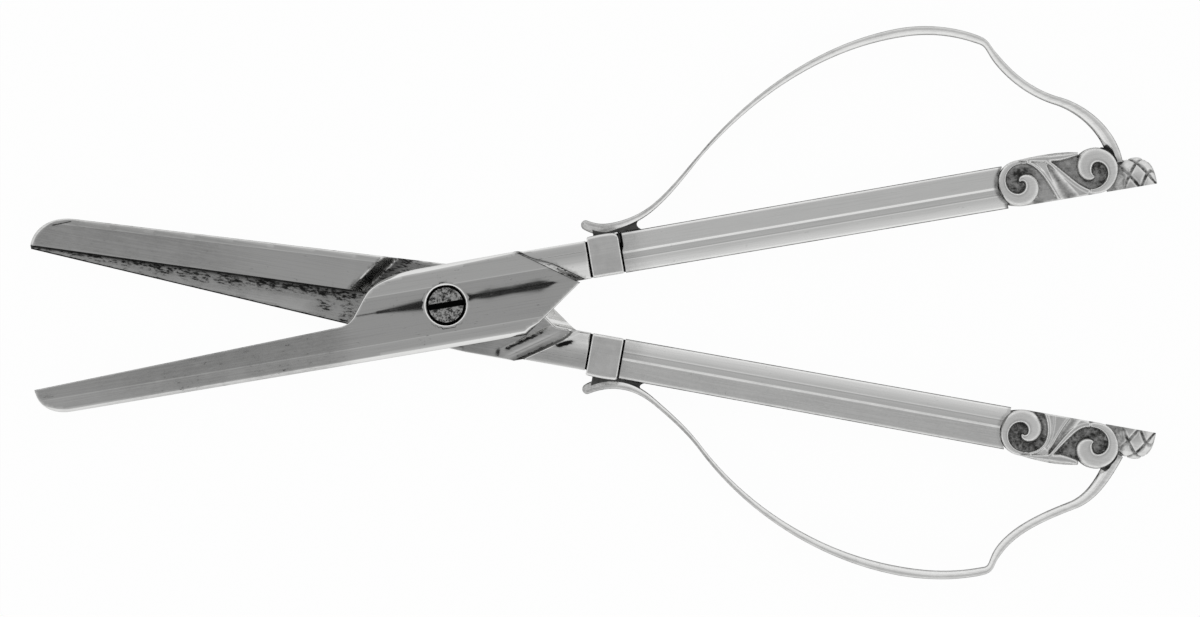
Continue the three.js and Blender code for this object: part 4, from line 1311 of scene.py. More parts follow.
@dataclass
class Collar(Part):
    """The band that closes the front of a hollow handle round the tang."""

    kind, form = "collar", "band"

    start: float = 22.45
    end: float = 27.15
    inner: float = 0.3
    outer: float = 6.5
    crown: float = 0.12
    corner: float = 0.5
    edge: float = 0.22
    lean: float = 0.03
    heel: float = 0.9
    lower_heel: float = 0.3
    lower_swell: float = 0.16
    neck_end: float = 28.3
    neck_inset: float = 0.14
    neck_half: float = 1.15
    film: float = 0.13

    def ring(self, u: float, shrink: float, swell: float) -> Points:
        """Section at u: a rectangle with round corners."""
        low, high = self.inner + shrink, self.outer - shrink + swell
        half, corner = HALF_THICKNESS - shrink - 0.02, self.corner - shrink * 0.5
        corners = ((high - corner, half - corner, 0.0), (low + corner, half - corner, 90.0),
                   (low + corner, corner - half, 180.0), (high - corner, corner - half, 270.0))
        ring = np.array([(u, *place) for v, z, first in corners
                         for place in arc(v, z, corner, first, first + 90.0, 11)])
        ring[:, 2] *= 1.0 - self.lean * (ring[:, 1] - self.inner) / HALF_THICKNESS
        return ring

    def build(self) -> Skin:
        """Builds the collar: a barrel with rolled ends, and its neck in the handle's mouth."""
        turns = np.linspace(0.0, math.pi / 2, 6)
        lead = [(self.edge * (1 - math.cos(t)), self.edge * (1 - math.sin(t))) for t in turns]
        length = self.end - self.start
        curl, wider = (self.heel, 0.0) if self.half is Half.UPPER else (self.lower_heel, self.lower_swell)
        body = [(u, 0.0) for u in np.linspace(self.edge * 1.6, length - self.edge * 1.6, 17)]
        stations = lead + body + [(length - u, shrink) for u, shrink in reversed(lead)]
        rings = []
        for u, shrink in stations:
            close = min(max((u - length + curl) / curl, 0.0), 1.0)
            heel = 0.8 * curl * (1.0 - math.sqrt(1.0 - close ** 2))
            swell = wider + self.crown * math.sin(math.pi * u / length) - heel
            rings.append(self.ring(self.start + u, shrink, swell))
        neck = stub(self.end - 0.8, self.neck_end, self.inner + self.neck_inset, self.outer - self.neck_inset,
                    self.neck_half)
        skin = np.array(rings)
        return loft(skin, np.full(skin.shape[:2], self.film)).joined(neck)


@dataclass
class HollowHandle(Part):
    """A hollow handle: front and back shells with a seam between them."""

    kind, form = "handle", "shell"
    finish = STERLING_SILVER

    start: float = 27.45
    end: float = 85.6
    inner: float = 0.3
    front_width: float = 6.05
    rear_width: float = 6.4
    ridge: float = 2.3
    outer_fall: float = 0.8
    inner_fall: float = 0.95
    bead: float = 0.05
    bead_width: float = 0.1
    crease: float = 0.016
    crease_place: float = 0.34
    crease_width: float = 0.1
    edge: float = 0.28
    wall: float = 0.6
    seam: float = 0.05
    eye: float = 88.0
    axis: float = 3.75
    seat: float = 3.55
    clean_side: float = 0.8
    mouth_roll: float = 0.06
    mouth_slant: float = 0.3
    mouth_film: float = 0.34
    mouth_run: float = 4.5
    # Painted shade on the lower handle's outer facet.
    outer_facet_shade: float = 0.22

    def section(self, width: float) -> Points:
        """Half section above the seam as rows of v, z: flat outer facet, ridge, rounded inner facet."""
        reach = width / 2
        middle = self.inner + reach

        def bead(share: float) -> float:
            """Height of the bead along the ridge, at a share of the way from it."""
            return self.bead * math.exp(-(reach * share / self.bead_width) ** 2)

        rows = [(reach, self.seam), (reach, self.clean_side)]
        outer_rim, inner_rim = self.ridge - self.outer_fall, self.ridge - self.inner_fall
        rows += arc(reach - self.edge, outer_rim - self.edge, self.edge, 0.0, 72.0, 6)
        near = np.array([0.0, 0.012, 0.024, 0.036, 0.05, 0.07, 0.1])
        for share in [*np.linspace(0.93, 0.16, 10), *near[::-1]]:
            rows.append((reach * share, self.ridge - self.bead - self.outer_fall * share + bead(share)))
        for share in [*near[1:], 0.16, 0.22, *np.linspace(0.27, 0.41, 9), *np.linspace(0.46, 0.93, 11)]:
            fall = self.inner_fall * (0.58 * share + 0.42 * share ** 2)
            off = reach * (share - self.crease_place) / self.crease_width
            raised = bead(share) + self.crease * math.exp(-off ** 2)
            rows.append((-reach * share, self.ridge - self.bead - fall + raised))
        rows += arc(-reach + self.edge, inner_rim - self.edge, self.edge, 112.0, 180.0, 6)
        rows += [(-reach, self.clean_side), (-reach, self.seam)]
        hollow = reach - self.wall
        rows += [(-hollow, self.seam), (-hollow + 0.5, inner_rim - self.wall),
                 (0.0, self.ridge - self.wall), (hollow - 0.5, outer_rim - self.wall), (hollow, self.seam)]
        return np.array([(middle + v, z) for v, z in rows])

    def build(self) -> Skin:
        """Builds one shell, on the side of its half's own z."""
        shares = np.concatenate([np.linspace(0.0, 0.986, 40), [0.99, 0.993, 0.996, 1.0]])
        front, rear = self.section(self.front_width), self.section(self.rear_width)
        off = np.clip(np.abs(rear[:, 0] - self.axis) / self.seat, 0.0, 1.0)
        shift = self.half.scroll_shift
        stop = np.minimum(self.eye - self.seat * np.sqrt(1.0 - off ** 2), self.end) + shift
        rings = []
        for share in shares:
            ring = front + (rear - front) * share
            u = self.start + (stop - self.start) * share
            rings.append(np.column_stack([u, ring]))
        rolled = np.array(rings)
        rolled[0, :, 2] -= self.mouth_roll
        if self.half is Half.UPPER:
            rolled[0, :, 0] += self.mouth_slant * smooth((rolled[0, :, 1] - 3.6) / 0.7)
        return loft(rolled, self.film(rolled, shares))

    def film(self, rolled: Points, shares: np.ndarray) -> np.ndarray:
        """Painted dark lines along the edges, painted shadow at the rear seam, tarnish at the mouth, and
        painted shade on the lower handle's outer facet.

        Args:
            rolled: array of rings by points by u, v, z.
            shares: place of each ring along the handle, from 0 to 1.

        Returns:
            How dark each ring's points are painted.
        """
        v = rolled[:, :, 1]
        rim = np.minimum(v - v.min(1)[:, None], v.max(1)[:, None] - v)
        # Painted dark lines along the edges.
        edge = smooth((0.15 - rim) / 0.12) * smooth((rolled[:, :, 2] - self.clean_side) / 0.15)
        # Painted shadow at the rear end, where the handle meets the scroll.
        seam = 0.85 if self.half is Half.UPPER else 0.4
        stain_and_shade = np.maximum(1.2 * edge, seam * smooth((shares[:, None] - 0.988) / 0.007))
        mouth = smooth((self.start + self.mouth_run - rolled[:, :, 0]) / self.mouth_run)
        stain_and_shade = np.maximum(stain_and_shade, self.mouth_film * mouth)
        # Painted shade on the lower handle's outer facet.
        if self.half is Half.LOWER:
            stain_and_shade = np.maximum(stain_and_shade, self.outer_facet_shade * smooth((v - v.mean(1)[:, None]) / 0.2))
        return stain_and_shade

    def dress(self) -> None:
        """Makes the two finished shells."""
        skin = self.build()
        own, far = ("front", "back") if self.half is Half.UPPER else ("back", "front")
        for side, shell in ((own, skin), (far, skin.mirrored())):
            node = f"{self.node}_{side}"
            self.make(shell, f"{node}_{self.form}", node)


@dataclass
class ScrollTerminal(Part):
    """The cast scroll at a handle's end: two volutes joined by an S-shaped fluted band and a leaf.

    The ornament is the common S-scroll, drawn from spirals about the two eyes.
    """

    kind, form = "scroll", "cast"
    sharp_angle = 60.0

    eye: float = 88.0
    axis: float = 3.75
    spacing: float = 11.4
    radius: float = 3.45
    face: float = 2.44
    ground: float = 1.25
    slope: float = 0.24
    exit_angle: float = 61.0
    edge: float = 0.22
    film: float = 0.2
    # Painted shade on the side walls.
    painted_wall_shade: float = 0.35
    spigot_end: float = 80.75

    @property
    def pitch(self) -> float:
        """Distance between this half's two eyes."""
        return self.spacing + self.half.rear_shift - self.half.scroll_shift

    @property
    def origin(self) -> Points:
        """Place of the front eye in plan."""
        return np.array([self.eye + self.half.scroll_shift, self.axis])

    def outline(self) -> Points:
        """Outline in plan, from the front eye: two round ends, with a notch where the leaf ends."""
        front = [heading(a) * (self.radius + 0.36 * bump(a - 226.0, 17.0))
                 for a in np.linspace(90.0, 270.0, 49)]
        rear = [heading(a) * self.radius + (self.pitch, 0.0) for a in np.linspace(-90.0, 131.0, 59)]
        if self.half is Half.LOWER:
            leaf = bezier((8.95, 3.28), (7.0, 3.75), (4.0, 3.95), (0.5, 3.48), steps=24)
        else:
            leaf = bezier((9.2, 3.12), (7.3, 3.6), (4.2, 3.72), (0.6, 3.48), steps=24)
        return np.array(front + rear + list(leaf))

    def volute(self, knots: Sequence[tuple[float, float, float]], exit_angle: float) -> Points:
        """A volute's ribbon, from its exit in to the eye, as rows of u, v and half width.

        Args:
            knots: rows of degrees turned from the exit, and the ribbon's inner and outer radius there.
            exit_angle: angle in degrees at which the ribbon leaves the volute.

        Returns:
            Rows about the volute's own eye.
        """
        table = np.array(knots)
        turned = np.linspace(0.0, table[-1, 0], 260)
        edges = []
        for column in (1, 2):
            radius = np.interp(turned, table[:, 0], table[:, column])
            first, last = 2 * radius[0] - radius[21:0:-1], 2 * radius[-1] - radius[-2:-23:-1]
            edges.append(np.convolve(np.concatenate([first, radius, last]), bell(45), mode="valid"))
        inner, outer = edges
        angle = np.radians(exit_angle + turned)
        middle, wide = (inner + outer) / 2, np.maximum((outer - inner) / 2, 0.06)
        return np.column_stack([np.cos(angle) * middle, np.sin(angle) * middle, wide])

    def strands(self) -> dict[str, Points]:
        """The ornament's bands as rows of u, v and half width, from the front eye."""
        front = self.volute(((0, 2.95, 3.5), (60, 2.5, 3.55), (119, 2.0, 3.55), (170, 1.65, 3.55),
                             (209, 1.35, 3.5), (250, 0.9, 3.2), (285, 0.6, 2.75), (335, 0.35, 1.65),
                             (375, 0.2, 0.95), (400, 0.15, 0.5)), self.exit_angle)
        if self.half is Half.LOWER:
            lobe = ((269, 0.45, 3.2), (281, 0.45, 3.1), (292, 0.45, 2.6), (317, 0.5, 1.65), (336, 0.6, 1.0))
        else:
            lobe = ((269, 0.45, 2.95), (305, 0.45, 2.5), (335, 0.55, 1.95), (358, 0.75, 1.3))
        rear = self.volute(((0, 2.9, 3.55), (29, 2.45, 3.55), (75, 1.95, 3.55), (119, 1.6, 3.55),
                            (165, 1.3, 3.55), (209, 1.05, 3.55), (240, 0.75, 3.35), *lobe),
                           self.exit_angle + 180.0)
        rear[:, 0] += self.pitch

        def band(points: Sequence[tuple[float, float]], wide: Sequence[float]) -> Points:
            """A run through four control points, with its half width at even steps along it."""
            run = bezier(*[np.array(p) for p in points], steps=60)
            half_width = np.interp(np.linspace(0, 1, len(run)), np.linspace(0, 1, len(wide)), wide)
            return np.column_stack([run, half_width])

        leave, arrive = tuple(front[0, :2]), tuple(rear[0, :2])
        if self.half is Half.LOWER:
            bands = {
                "near_edge": band((leave, (4.3, 1.9), (4.3, -1.2), (2.75, -3.6)), (0.28, 0.32)),
                "near_rib": band(((3.7, 1.7), (4.5, 0.2), (4.5, -1.6), (4.1, -3.5)), (0.12, 0.2)),
                "far_rib": band(((4.1, 1.9), (4.9, 0.2), (5.3, -1.6), (6.3, -3.3)), (0.14, 0.26)),
                "far_edge": band(((4.5, 2.75), (6.2, 0.4), (7.4, -2.6), arrive), (0.3, 0.46, 0.42)),
                "leaf": band(((0.4, 3.35), (3.6, 3.3), (6.2, 2.6), (8.5, 3.0)), (0.2, 0.42, 0.85, 0.5)),
                "flute": band(((4.4, 2.3), (5.3, 0.6), (6.0, -1.2), (7.3, -3.6)), (0.2, 0.6, 0.9)),
            }
        else:
            bands = {
                "near_edge": band((leave, (3.5, 1.9), (4.3, -0.8), (5.5, -3.6)), (0.3, 0.36)),
                "far_edge": band(((4.6, 2.45), (6.5, 0.7), (7.8, -1.7), arrive), (0.3, 0.4, 0.42)),
                "leaf": band(((0.4, 3.35), (3.6, 3.2), (6.4, 2.5), (9.1, 2.95)), (0.2, 0.5, 0.62, 0.3)),
                "flute": band(((4.5, 1.9), (5.1, 0.6), (5.9, -1.3), (7.0, -3.5)), (0.25, 0.8, 1.35)),
            }
        return {"front": front, "rear": rear, **bands}

    @staticmethod
    def reach(plan: Points, strand: Points) -> np.ndarray:
        """Distance of points from a strand's middle, as a share of its half width there."""
        best = np.full(len(plan), np.inf)
        for u, v, wide in strand:
            best = np.minimum(best, np.hypot(plan[:, 0] - u, plan[:, 1] - v) / wide)
        return best

    def height(self, plan: Points) -> np.ndarray:
        """Height of the relief over the middle plane."""
        local = plan - self.origin
        u, v = local[:, 0], local[:, 1]
        strands = self.strands()
        near, far = strands["near_edge"], strands["far_edge"]
        in_front = u < np.interp(v, near[::-1, 1], near[::-1, 0])
        in_rear = u > np.interp(v, far[::-1, 1], far[::-1, 0])
        gully = smooth((u + 0.5 * v + 0.3) / 2.2)
        flute = np.clip(self.reach(local, strands["flute"]), 0.0, 1.0)
        rise = 2.28 - 0.2 * np.clip(v - 1.0, 0.0, None) - 0.34 * (1.0 - flute ** 2)
        rise = np.where(in_front, self.ground + 0.2 * gully, rise)
        rise = np.where(in_rear, self.ground + 0.1 * smooth((8.5 - u) / 2.0), rise)
        eyes = {"front": np.hypot(u, v), "rear": np.hypot(u - self.pitch, v)}
        for name, top, square in (("leaf", 2.34, 3.0), ("near_edge", 2.38, 2.0), ("near_rib", 2.34, 2.0),
                                  ("far_rib", 2.36, 2.0), ("far_edge", 2.38, 2.2), ("front", self.face, 5.0),
                                  ("rear", self.face, 5.0)):
            if name not in strands:
                continue
            share = np.clip(self.reach(local, strands[name]), 0.0, 1.0)
            if name in eyes:
                top = top - self.slope * np.clip(eyes[name] - 0.8, 0.0, None)
            foot = np.minimum(rise, top)
            crown = foot + (top - foot) * np.sqrt(1.0 - share ** square)
            rise = np.where(share < 1.0, np.maximum(rise, crown), rise)
        return rise

    def hollow(self, points: Points, side: float) -> np.ndarray:
        """Tarnish by depth below the ribbon's face, alike on both sides, with painted shade on the side
        walls.
        """
        rise = self.height(points[:, :2])
        local = points[:, :2] - self.origin
        near = np.minimum(np.hypot(*local.T), np.hypot(local[:, 0] - self.pitch, local[:, 1]))
        brim = self.face - self.slope * np.clip(near - 0.8, 0.0, 2.7)
        deep = smooth((brim - 0.12 - rise) / 0.35)
        flute = 0.78 * (1.0 - np.clip(self.reach(local, self.strands()["flute"]), 0.0, 1.0) ** 2)
        wall = np.abs(points[:, 2]) < rise - 0.3
        if self.half is Half.UPPER:
            deep *= 1.0 - 0.3 * smooth((near - 1.9) / 0.8)
        return np.where(wall, self.painted_wall_shade, np.maximum.reduce([deep, flute, np.full(len(rise), self.film)]))

    def build(self) -> Skin:
        """Builds the terminal with its relief on both faces and the plug that enters the handle."""
        outline = self.outline() + self.origin
        cast = Relief(
            upper=outline, lower=outline, top=self.height, bottom=lambda p: -self.height(p),
            hollow=self.hollow, rounding=level(self.edge), under_rounding=self.edge,
            step=0.13, spacing=0.115, arcs=3).skin()
        plug = [(self.spigot_end, 1.1), (self.spigot_end + 0.2, 1.2), (self.eye - 2.0, 1.2)]
        rings = np.array([[(u, self.axis - 0.4 + side * wide, up * wide * 0.66)
                           for side, up in ((1, -1), (1, 1), (-1, 1), (-1, -1))] for u, wide in plug])
        return cast.joined(loft(rings))


@dataclass
class BudFinial(Part):
    """Half a bud with a flat inner side, scored with a crossed lattice."""

    kind, form = "finial", "bud"
    sharp_angle = 60.0

    base: float = 100.7
    end: float = 108.25
    inner: float = 0.3
    radius: float = 4.42
    neck: float = 4.26
    nose: float = 3.2
    half_thickness: float = 2.3
    lattice: float = 102.9
    groove: float = 0.4
    groove_gap: float = 3.0
    groove_width: float = 0.36
    swell_run: float = 3.8
    flute_gap: float = 1.5
    flute_depth: float = 0.45
    neck_film: float = 0.55
    film: float = 0.24
    groove_film: float = 0.98

    def crest(self, u: float) -> float:
        """Radius of the bud at a place along its length."""
        swell = self.neck + (self.radius - self.neck) * np.sin(
            np.clip((u - self.base) / self.swell_run, 0, 1) * math.pi / 2)
        off = np.clip((u - (self.end - self.nose)) / self.nose, 0.0, 1.0)
        return swell * np.clip(1.0 - off ** 2.4, 0.0, 1.0) ** (1 / 2.9)

    def sunk(self, at: float, turn: np.ndarray) -> np.ndarray:
        """How deep the scoring is round one ring, from 0 to 1: flutes on the neck and a lattice past them."""
        around = (turn - math.pi / 2) * self.radius * 0.62
        lattice = np.zeros(len(turn))
        for slope in (-1.0, 1.0):
            wave = np.mod((at - self.lattice) * 1.1 + slope * around, self.groove_gap) / self.groove_gap
            lattice = np.maximum(lattice, bump((wave - 0.5) * self.groove_gap, self.groove_width))
        open_part = smooth((at - self.lattice) / 0.6)
        flutes = 0.5 + 0.5 * np.cos(around * 2 * math.pi / self.flute_gap)
        return np.maximum(lattice * open_part, flutes * self.flute_depth * (1 - open_part))

    def build(self) -> Skin:
        """Builds the bud as rings from its base to its nose."""
        share = np.linspace(0.0, 1.0, 96)
        u = self.base + (self.end - self.base) * np.sin(share * math.pi / 2)
        turn = np.linspace(0.0, math.pi, 97)
        rings, depths = [], []
        flat = self.half_thickness / self.radius
        for at in u:
            sunk = self.sunk(at, turn)
            reach = np.maximum(self.crest(at) - self.groove * sunk, 0.02)
            v = self.inner + reach * np.sin(turn)
            z = flat * reach * np.cos(turn) * (0.7 + 0.3 * smooth((at - 101.6) / 1.8))
            rings.append(np.column_stack([np.full(len(turn), at), v, z]))
            neck = 1.0 - smooth((at - self.lattice - 0.4) / 0.9)
            depths.append(np.maximum(self.groove_film * smooth((sunk - 0.15) / 0.6),
                                     self.film + self.neck_film * neck))
        return loft(np.array(rings), np.array(depths))


@dataclass(frozen=True)
class Bend:
    """A bend of the bow: place, headings in degrees, thickness in plan and width in z."""

    u: float
    v: float
    arrival: float
    departure: float
    thickness: float
    width: float


@dataclass
class FingerBow(Part):
    """The strip bent round for the fingers, from the collar's lug to the scroll."""

    kind, form = "bow", "strip"
    finish, sharp_angle = STERLING_SILVER, 50.0
    kink_place: ClassVar[int] = -3

    pull: float = 0.34
    steps: int = 36
    pad: float = 0.36
    pad_place: float = 24.3
    pad_width: float = 1.8
    pad_end: float = 34.0
    tail_round: float = 0.7
    kink_thinning: float = 0.25
    foot_film: float = 0.56
    # Painted shade: on the arm's outer half, at the rear end sunk between volute and bud, as dark lines along
    # both edges, on the outer half of the face, and over the saddle where it meets the volute's rim.
    arm_shade: float = 0.3
    end_shade: float = 0.7
    outer_edge_shade: float = 0.8
    inner_edge_shade: float = 1.0
    outer_face_shade: float = 0.24
    side_film: float = 0.12
    saddle_angle: float = 40.0
    saddle_spread: float = 29.0
    saddle_least: float = 0.16
    saddle_swell: float = 0.24
    saddle_bite: float = 0.15
    saddle_half: float = 1.6
    saddle_shade: float = 1.2
    eye: tuple[float, float] = (99.4, 3.75)
    rim: float = 3.45
    crest: float = 0.1
    corner: float = 0.3
    outer_fall: float = 0.34
    inner_fall: float = 0.66

    def bends(self) -> list[Bend]:
        """The bow's bends in order. The lower bow is bent flatter."""
        if self.half is Half.LOWER:
            tail, foot, rise = (22.5, 9.2), (28.2, 7.26), (33.4, 8.9, 30.5)
            arm, top = (14.45, 43.0, 0.6), 27.42
            kink, waist, end = (87.3, 24.8, -24.0, -86.0), (97.8, 13.15, -31.5), (102.9, 4.4, -73.0, 2.3)
        else:
            tail, foot, rise = (22.1, 8.8), (26.0, 7.42), (33.3, 9.45, 31.0)
            arm, top = (15.8, 40.0, 0.46), 29.0
            kink, waist, end = (86.35, 25.4, -33.0, -70.0), (95.5, 15.0, -26.0), (102.6, 4.4, -91.0, 2.2)
        return [
            Bend(*tail, 0.0, -35.0, 1.3, 2.6),
            Bend(*foot, 0.0, 0.0, 1.26, 3.4),
            Bend(*rise, rise[2], 0.76, 3.7),
            Bend(41.3, arm[0], arm[1], arm[1], arm[2], 4.0),
            Bend(74.0, top, 0.0, 0.0, 1.34, 3.2),
            Bend(*kink, 1.15, 3.2),
            Bend(*waist, waist[2], 1.25, 3.2),
            Bend(*end[:3], 0.0, end[3], 2.6),
        ]

    def path(self) -> tuple[Points, np.ndarray, np.ndarray]:
        """Centre line, thickness and width along the bow."""
        bends = self.bends()
        runs, thick, wide = [], [], []
        for near, far in zip(bends, bends[1:]):
            a, b = np.array([near.u, near.v]), np.array([far.u, far.v])
            pull = self.pull * float(np.linalg.norm(b - a))
            run = bezier(a, a + heading(near.departure) * pull, b - heading(far.arrival) * pull, b,
                         steps=self.steps)
            share = np.linspace(0.0, 1.0, self.steps + 1)
            keep = slice(0 if not runs else 1, None)
            runs.append(run[keep])
            thick.append((near.thickness + (far.thickness - near.thickness) * share)[keep])
            wide.append((near.width + (far.width - near.width) * share)[keep])
        line = np.vstack(runs)
        eased = np.column_stack([np.convolve(np.pad(c, 3, mode="edge"), bell(9), "valid") for c in line.T])
        kink = bends[self.kink_place]
        share = bump(np.linalg.norm(line - (kink.u, kink.v), axis=1), 1.6)[:, None]
        return line * (1 - share) + eased * share, np.concatenate(thick), np.concatenate(wide)

    @staticmethod
    def section() -> tuple[np.ndarray, np.ndarray]:
        """Places round the strip's section, as shares of half its thickness and half its width."""
        face = np.array([1.0, 0.985, 0.94, 0.87, 0.78, 0.6, 0.4, 0.2, 0.1])
        top = np.concatenate([face, [0.0], -face[:-1][::-1]])
        out = np.concatenate([top, [-1.0, -1.0], top[::-1], [1.0, 1.0]])
        up = np.concatenate([np.ones(len(top)), [0.45, -0.45], -np.ones(len(top)), [-0.45, 0.45]])
        return out, up

    def build(self) -> Skin:
        """Builds the strip, with a rounded tail and its rear end sunk between volute and bud."""
        line, thick, wide = self.path()
        kink = self.bends()[self.kink_place]
        past_kink = np.linalg.norm(line - (kink.u + 0.5, kink.v - 0.8), axis=1)
        thick = thick * (0.99 - self.kink_thinning * bump(past_kink, 1.5))
        along = np.gradient(line, axis=0)
        along /= np.linalg.norm(along, axis=1)[:, None]
        across = np.stack([-along[:, 1], along[:, 0]], axis=1)
        run = np.concatenate([[0.0], np.cumsum(np.linalg.norm(np.diff(line, axis=0), axis=1))])
        tail = np.sqrt(np.clip(1.0 - (1.0 - np.clip(run / self.tail_round, 0, 1)) ** 2, 0.02, 1.0))
        out, up = self.section()
        rim = np.clip((np.abs(out) - 0.72) / 0.28, 0.0, 1.0)
        corner = self.corner * (1.0 - np.sqrt(1.0 - rim ** 2))
        # Painted shade: dark lines along both edges, and a darker outer half of the face.
        outer_face = smooth((out + 0.4) / 0.3)
        stain_and_shade = np.where(out < -0.9, self.inner_edge_shade, self.outer_face_shade * outer_face)
        stain_and_shade = np.where(out > 0.9, self.outer_edge_shade, stain_and_shade)
        stain_and_shade[np.abs(up) < 1.0] = self.side_film
        rings, stain_and_shade_rings = [], []
        for place, side, t, w, end, gone in zip(line, across, thick, wide, tail, run - run[-1]):
            off = (place[0] - self.pad_place) / self.pad_width
            pad = self.pad * math.exp(-off ** 2) if place[0] < self.pad_end else 0.0
            plan = place + side * (out * t / 2 * end - pad * (out < 0) * -out)[:, None]
            fall = t / 2 * np.where(out > self.crest, self.outer_fall * (out - self.crest),
                                    self.inner_fall * (self.crest - out)) + corner * min(1.0, t)
            rings.append(np.column_stack([plan, up * (w / 2 * (0.6 + 0.4 * end) - fall)]))
            foot = self.foot_film * smooth((30.0 - place[0]) / 5.0)
            # Painted shade: more on the arm's outer half, and at the rear end where it sinks between volute
            # and bud.
            arm = self.arm_shade * math.exp(-((place[0] - 40.0) / 12.0) ** 2) * outer_face
            shaded_end = self.end_shade * smooth((gone + 1.2) / 1.0)
            stain_and_shade_rings.append(np.maximum(stain_and_shade + arm, np.maximum(foot, shaded_end)))
        return loft(np.array(rings), np.array(stain_and_shade_rings)).joined(self.saddle())

    def saddle(self) -> Skin:
        """The splayed end that hugs the rear volute's rim."""
        middle = np.array(self.eye) + (self.half.rear_shift, 0.0)
        section = np.array([(0.0, 1.0), (0.35, 1.0), (0.75, 0.97), (0.93, 0.85), (1.0, 0.6), (1.0, -0.6),
                            (0.93, -0.85), (0.75, -0.97), (0.35, -1.0), (0.0, -1.0)])
        rings = []
        for share in np.linspace(-1.0, 1.0, 25):
            side = heading(self.saddle_angle + self.saddle_spread * float(share))
            thick = self.saddle_least + self.saddle_swell * math.sqrt(max(1.0 - share ** 4, 0.0))
            radius = self.rim - self.saddle_bite + section[:, 0] * thick
            rings.append(np.column_stack([middle[0] + side[0] * radius, middle[1] + side[1] * radius,
                                          section[:, 1] * self.saddle_half]))
        # The whole saddle is painted dark, as the shade where it meets the volute's rim.
        return loft(np.array(rings), np.full((len(rings), len(section)), self.saddle_shade))


@dataclass
class SolderLug(Part):
    """The soldered lug between collar and handle, which fills in under the bow's foot."""

    kind, form = "lug", "fill"
    slot, finish = Slot.SOLDER, TIN_SOLDER

    tongue_start: float = 27.17
    tongue_end: float = 27.43
    tongue_foot: float = 4.9
    collar_top: float = 6.5
    handle_top: float = 6.38
    reach: float = 30.85
    bite: float = 0.6
    lower_reach: float = 0.55
    tail: float = 23.5
    half_thickness: float = 1.3
    fall: float = 0.25
    fall_start: float = 28.0
    fall_run: float = 2.8
    edge: float = 0.1
    film: float = 0.6

    def face(self, plan: Points) -> np.ndarray:
        """Height of the face, falling a little along the bow."""
        share = np.clip((plan[:, 0] - self.fall_start) / self.fall_run, 0, 1)
        return self.half_thickness - self.fall * share

    def build(self) -> Skin:
        """Builds the tongue and the fillet that runs out along the bow."""
        line, thick, _ = FingerBow(self.half).path()
        under = line - np.array([0.0, 1.0]) * (thick[:, None] / 2 - 0.12)

        def below(u: float) -> tuple[float, float]:
            """Point on the bow's underside."""
            return u, float(np.interp(u, under[:90, 0], under[:90, 1]))

        start, stop, foot = self.tongue_start, self.tongue_end, self.tongue_foot
        reach = self.reach + (self.lower_reach if self.half is Half.LOWER else 0.0)
        end = np.array(below(reach))
        edge = bezier(np.array([reach - 0.1, self.handle_top]),
                      np.array([reach - 2 * self.bite, (self.handle_top + end[1]) / 2]), end, steps=12)
        over = [below(u) for u in np.linspace(reach - 0.3, self.tail, 24)]
        base = [(u, self.collar_top) for u in np.linspace(self.tail, start, 12)]
        tongue = [(start, foot), (stop, foot), (stop, self.handle_top)]
        outline = np.array([*tongue, *map(tuple, edge), *over, *base])
        return Relief(
            upper=outline, lower=outline, top=self.face, bottom=lambda p: -self.face(p),
            hollow=lambda p, side: np.full(len(p), self.film), rounding=level(self.edge),
            under_rounding=self.edge, step=0.3, spacing=0.3, arcs=2).skin()


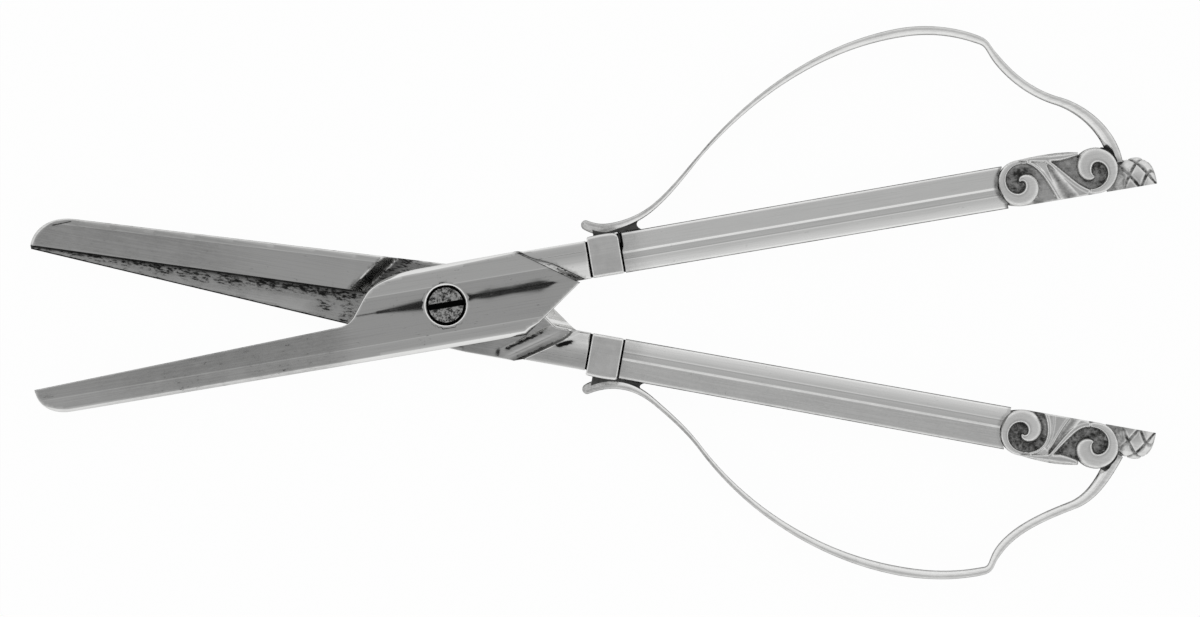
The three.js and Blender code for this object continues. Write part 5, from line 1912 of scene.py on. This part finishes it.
@dataclass
class Studio:
    """A pale table under a soft tent of light, with the camera straight above."""

    centre: tuple[float, float] = (23.10, -0.42)
    width_mm: float = 180.0
    face_mm: float = 3.5
    roll: float = 0.26
    lens: float = 300.0
    sensor: float = 36.0
    glow: float = 0.965
    floor_colour: str = "#f4f4f3"
    floor_reach: float = 4.0
    floor_drop_mm: float = 0.02
    tent: tuple[tuple[float, float], ...] = (
        (0.0, 0.02), (3.1, 0.02), (3.8, 0.35), (12.0, 0.38), (22.0, 0.47), (34.0, 0.58), (48.0, 0.93),
        (62.0, 1.0), (180.0, 1.0))

    def camera(self) -> None:
        """Sets the camera at the photograph's angle and scale."""
        data = bpy.data.cameras.new("camera")
        data.sensor_fit = "HORIZONTAL"
        data.sensor_width, data.lens = self.sensor, self.lens
        height = self.width_mm * self.lens / self.sensor + self.face_mm
        data.clip_end = 100.0
        view = bpy.data.objects.new("camera", data)
        view.location = (self.centre[0] * MM, self.centre[1] * MM, height * MM)
        view.rotation_euler = (0.0, 0.0, math.radians(self.roll))
        bpy.context.scene.collection.objects.link(view)
        bpy.context.scene.camera = view

    def floor(self) -> None:
        """Lays the table: white to the eye and in reflections, and it keeps the shears' shadow."""
        mesh = bpy.data.meshes.new("table")
        corners = ((-1, -1), (1, -1), (1, 1), (-1, 1))
        mesh.from_pydata([(u * self.floor_reach, v * self.floor_reach, -self.floor_drop_mm * MM)
                          for u, v in corners], [], [(0, 1, 2, 3)])
        made = bpy.data.materials.new("matt_white_card")
        tree = empty_tree(made)
        path = add_node(tree, "ShaderNodeLightPath").outputs
        seen = reckon(tree, "MAXIMUM", path["Is Camera Ray"], path["Is Glossy Ray"])
        shown = reckon(tree, "MAXIMUM", seen, path["Is Transmission Ray"])
        share = reckon(tree, "MULTIPLY", shown, self.glow)
        card = add_node(tree, "ShaderNodeBsdfDiffuse", None, {"Color": linear(self.floor_colour)})
        light = add_node(tree, "ShaderNodeEmission", None, {"Strength": 1.0})
        mix = add_node(tree, "ShaderNodeMixShader", None, {
            0: share, 1: card.outputs["BSDF"], 2: light.outputs["Emission"]})
        add_node(tree, "ShaderNodeOutputMaterial", None, {"Surface": mix.outputs["Shader"]})
        mesh.materials.append(made)
        table = bpy.data.objects.new("table", mesh)
        bpy.context.scene.collection.objects.link(table)

    def light(self) -> None:
        """Hangs the tent: grey overhead round the camera's opening, white towards the sides."""
        world = bpy.data.worlds.new("light_tent")
        bpy.context.scene.world = world
        tree = empty_tree(world)
        where = add_node(tree, "ShaderNodeTexCoord").outputs["Generated"]
        split = add_node(tree, "ShaderNodeSeparateXYZ", None, {"Vector": where})
        angle = reckon(tree, "ARCCOSINE", split.outputs["Z"])
        cloth = add_node(tree, "ShaderNodeValToRGB", None, {"Fac": reckon(tree, "DIVIDE", angle, math.pi)})
        stops = cloth.color_ramp.elements
        for i, (degrees, grey) in enumerate(self.tent):
            place = degrees / 180.0
            stop = stops[i] if i < 2 else stops.new(place)
            stop.position, stop.color = place, (grey, grey, grey, 1.0)
        soft = add_node(tree, "ShaderNodeBackground", None, {"Color": cloth.outputs["Color"]})
        white = add_node(tree, "ShaderNodeBackground", None, {"Color": (1.0, 1.0, 1.0, 1.0)})
        path = add_node(tree, "ShaderNodeLightPath")
        mix = add_node(tree, "ShaderNodeMixShader", None, {
            0: path.outputs["Is Camera Ray"], 1: soft.outputs["Background"],
            2: white.outputs["Background"]})
        add_node(tree, "ShaderNodeOutputWorld", None, {"Surface": mix.outputs["Shader"]})
        bpy.context.scene.view_settings.view_transform = "Standard"

    def build(self) -> None:
        """Sets camera, table and light."""
        self.camera()
        self.floor()
        self.light()


def dress_cores() -> None:
    """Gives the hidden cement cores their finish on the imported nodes."""
    cement = CementFinish().material()
    for half in Half:
        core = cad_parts[f"{half.value}_handle_core"]
        core.data.materials.clear()
        core.data.materials.append(cement)
        log.info("%s dressed", core.name)


def main() -> None:
    """Builds every piece in order."""
    logging.basicConfig(level=logging.INFO, format="%(name)s: %(message)s")
    Studio().build()
    FlangedBlade().dress()
    PlainBlade().dress()
    PivotScrew().dress()
    for half in Half:
        Collar(half).dress()
        HollowHandle(half).dress()
        ScrollTerminal(half).dress()
        BudFinial(half).dress()
        FingerBow(half).dress()
        SolderLug(half).dress()
    dress_cores()


if __name__ == "__main__":
    main()
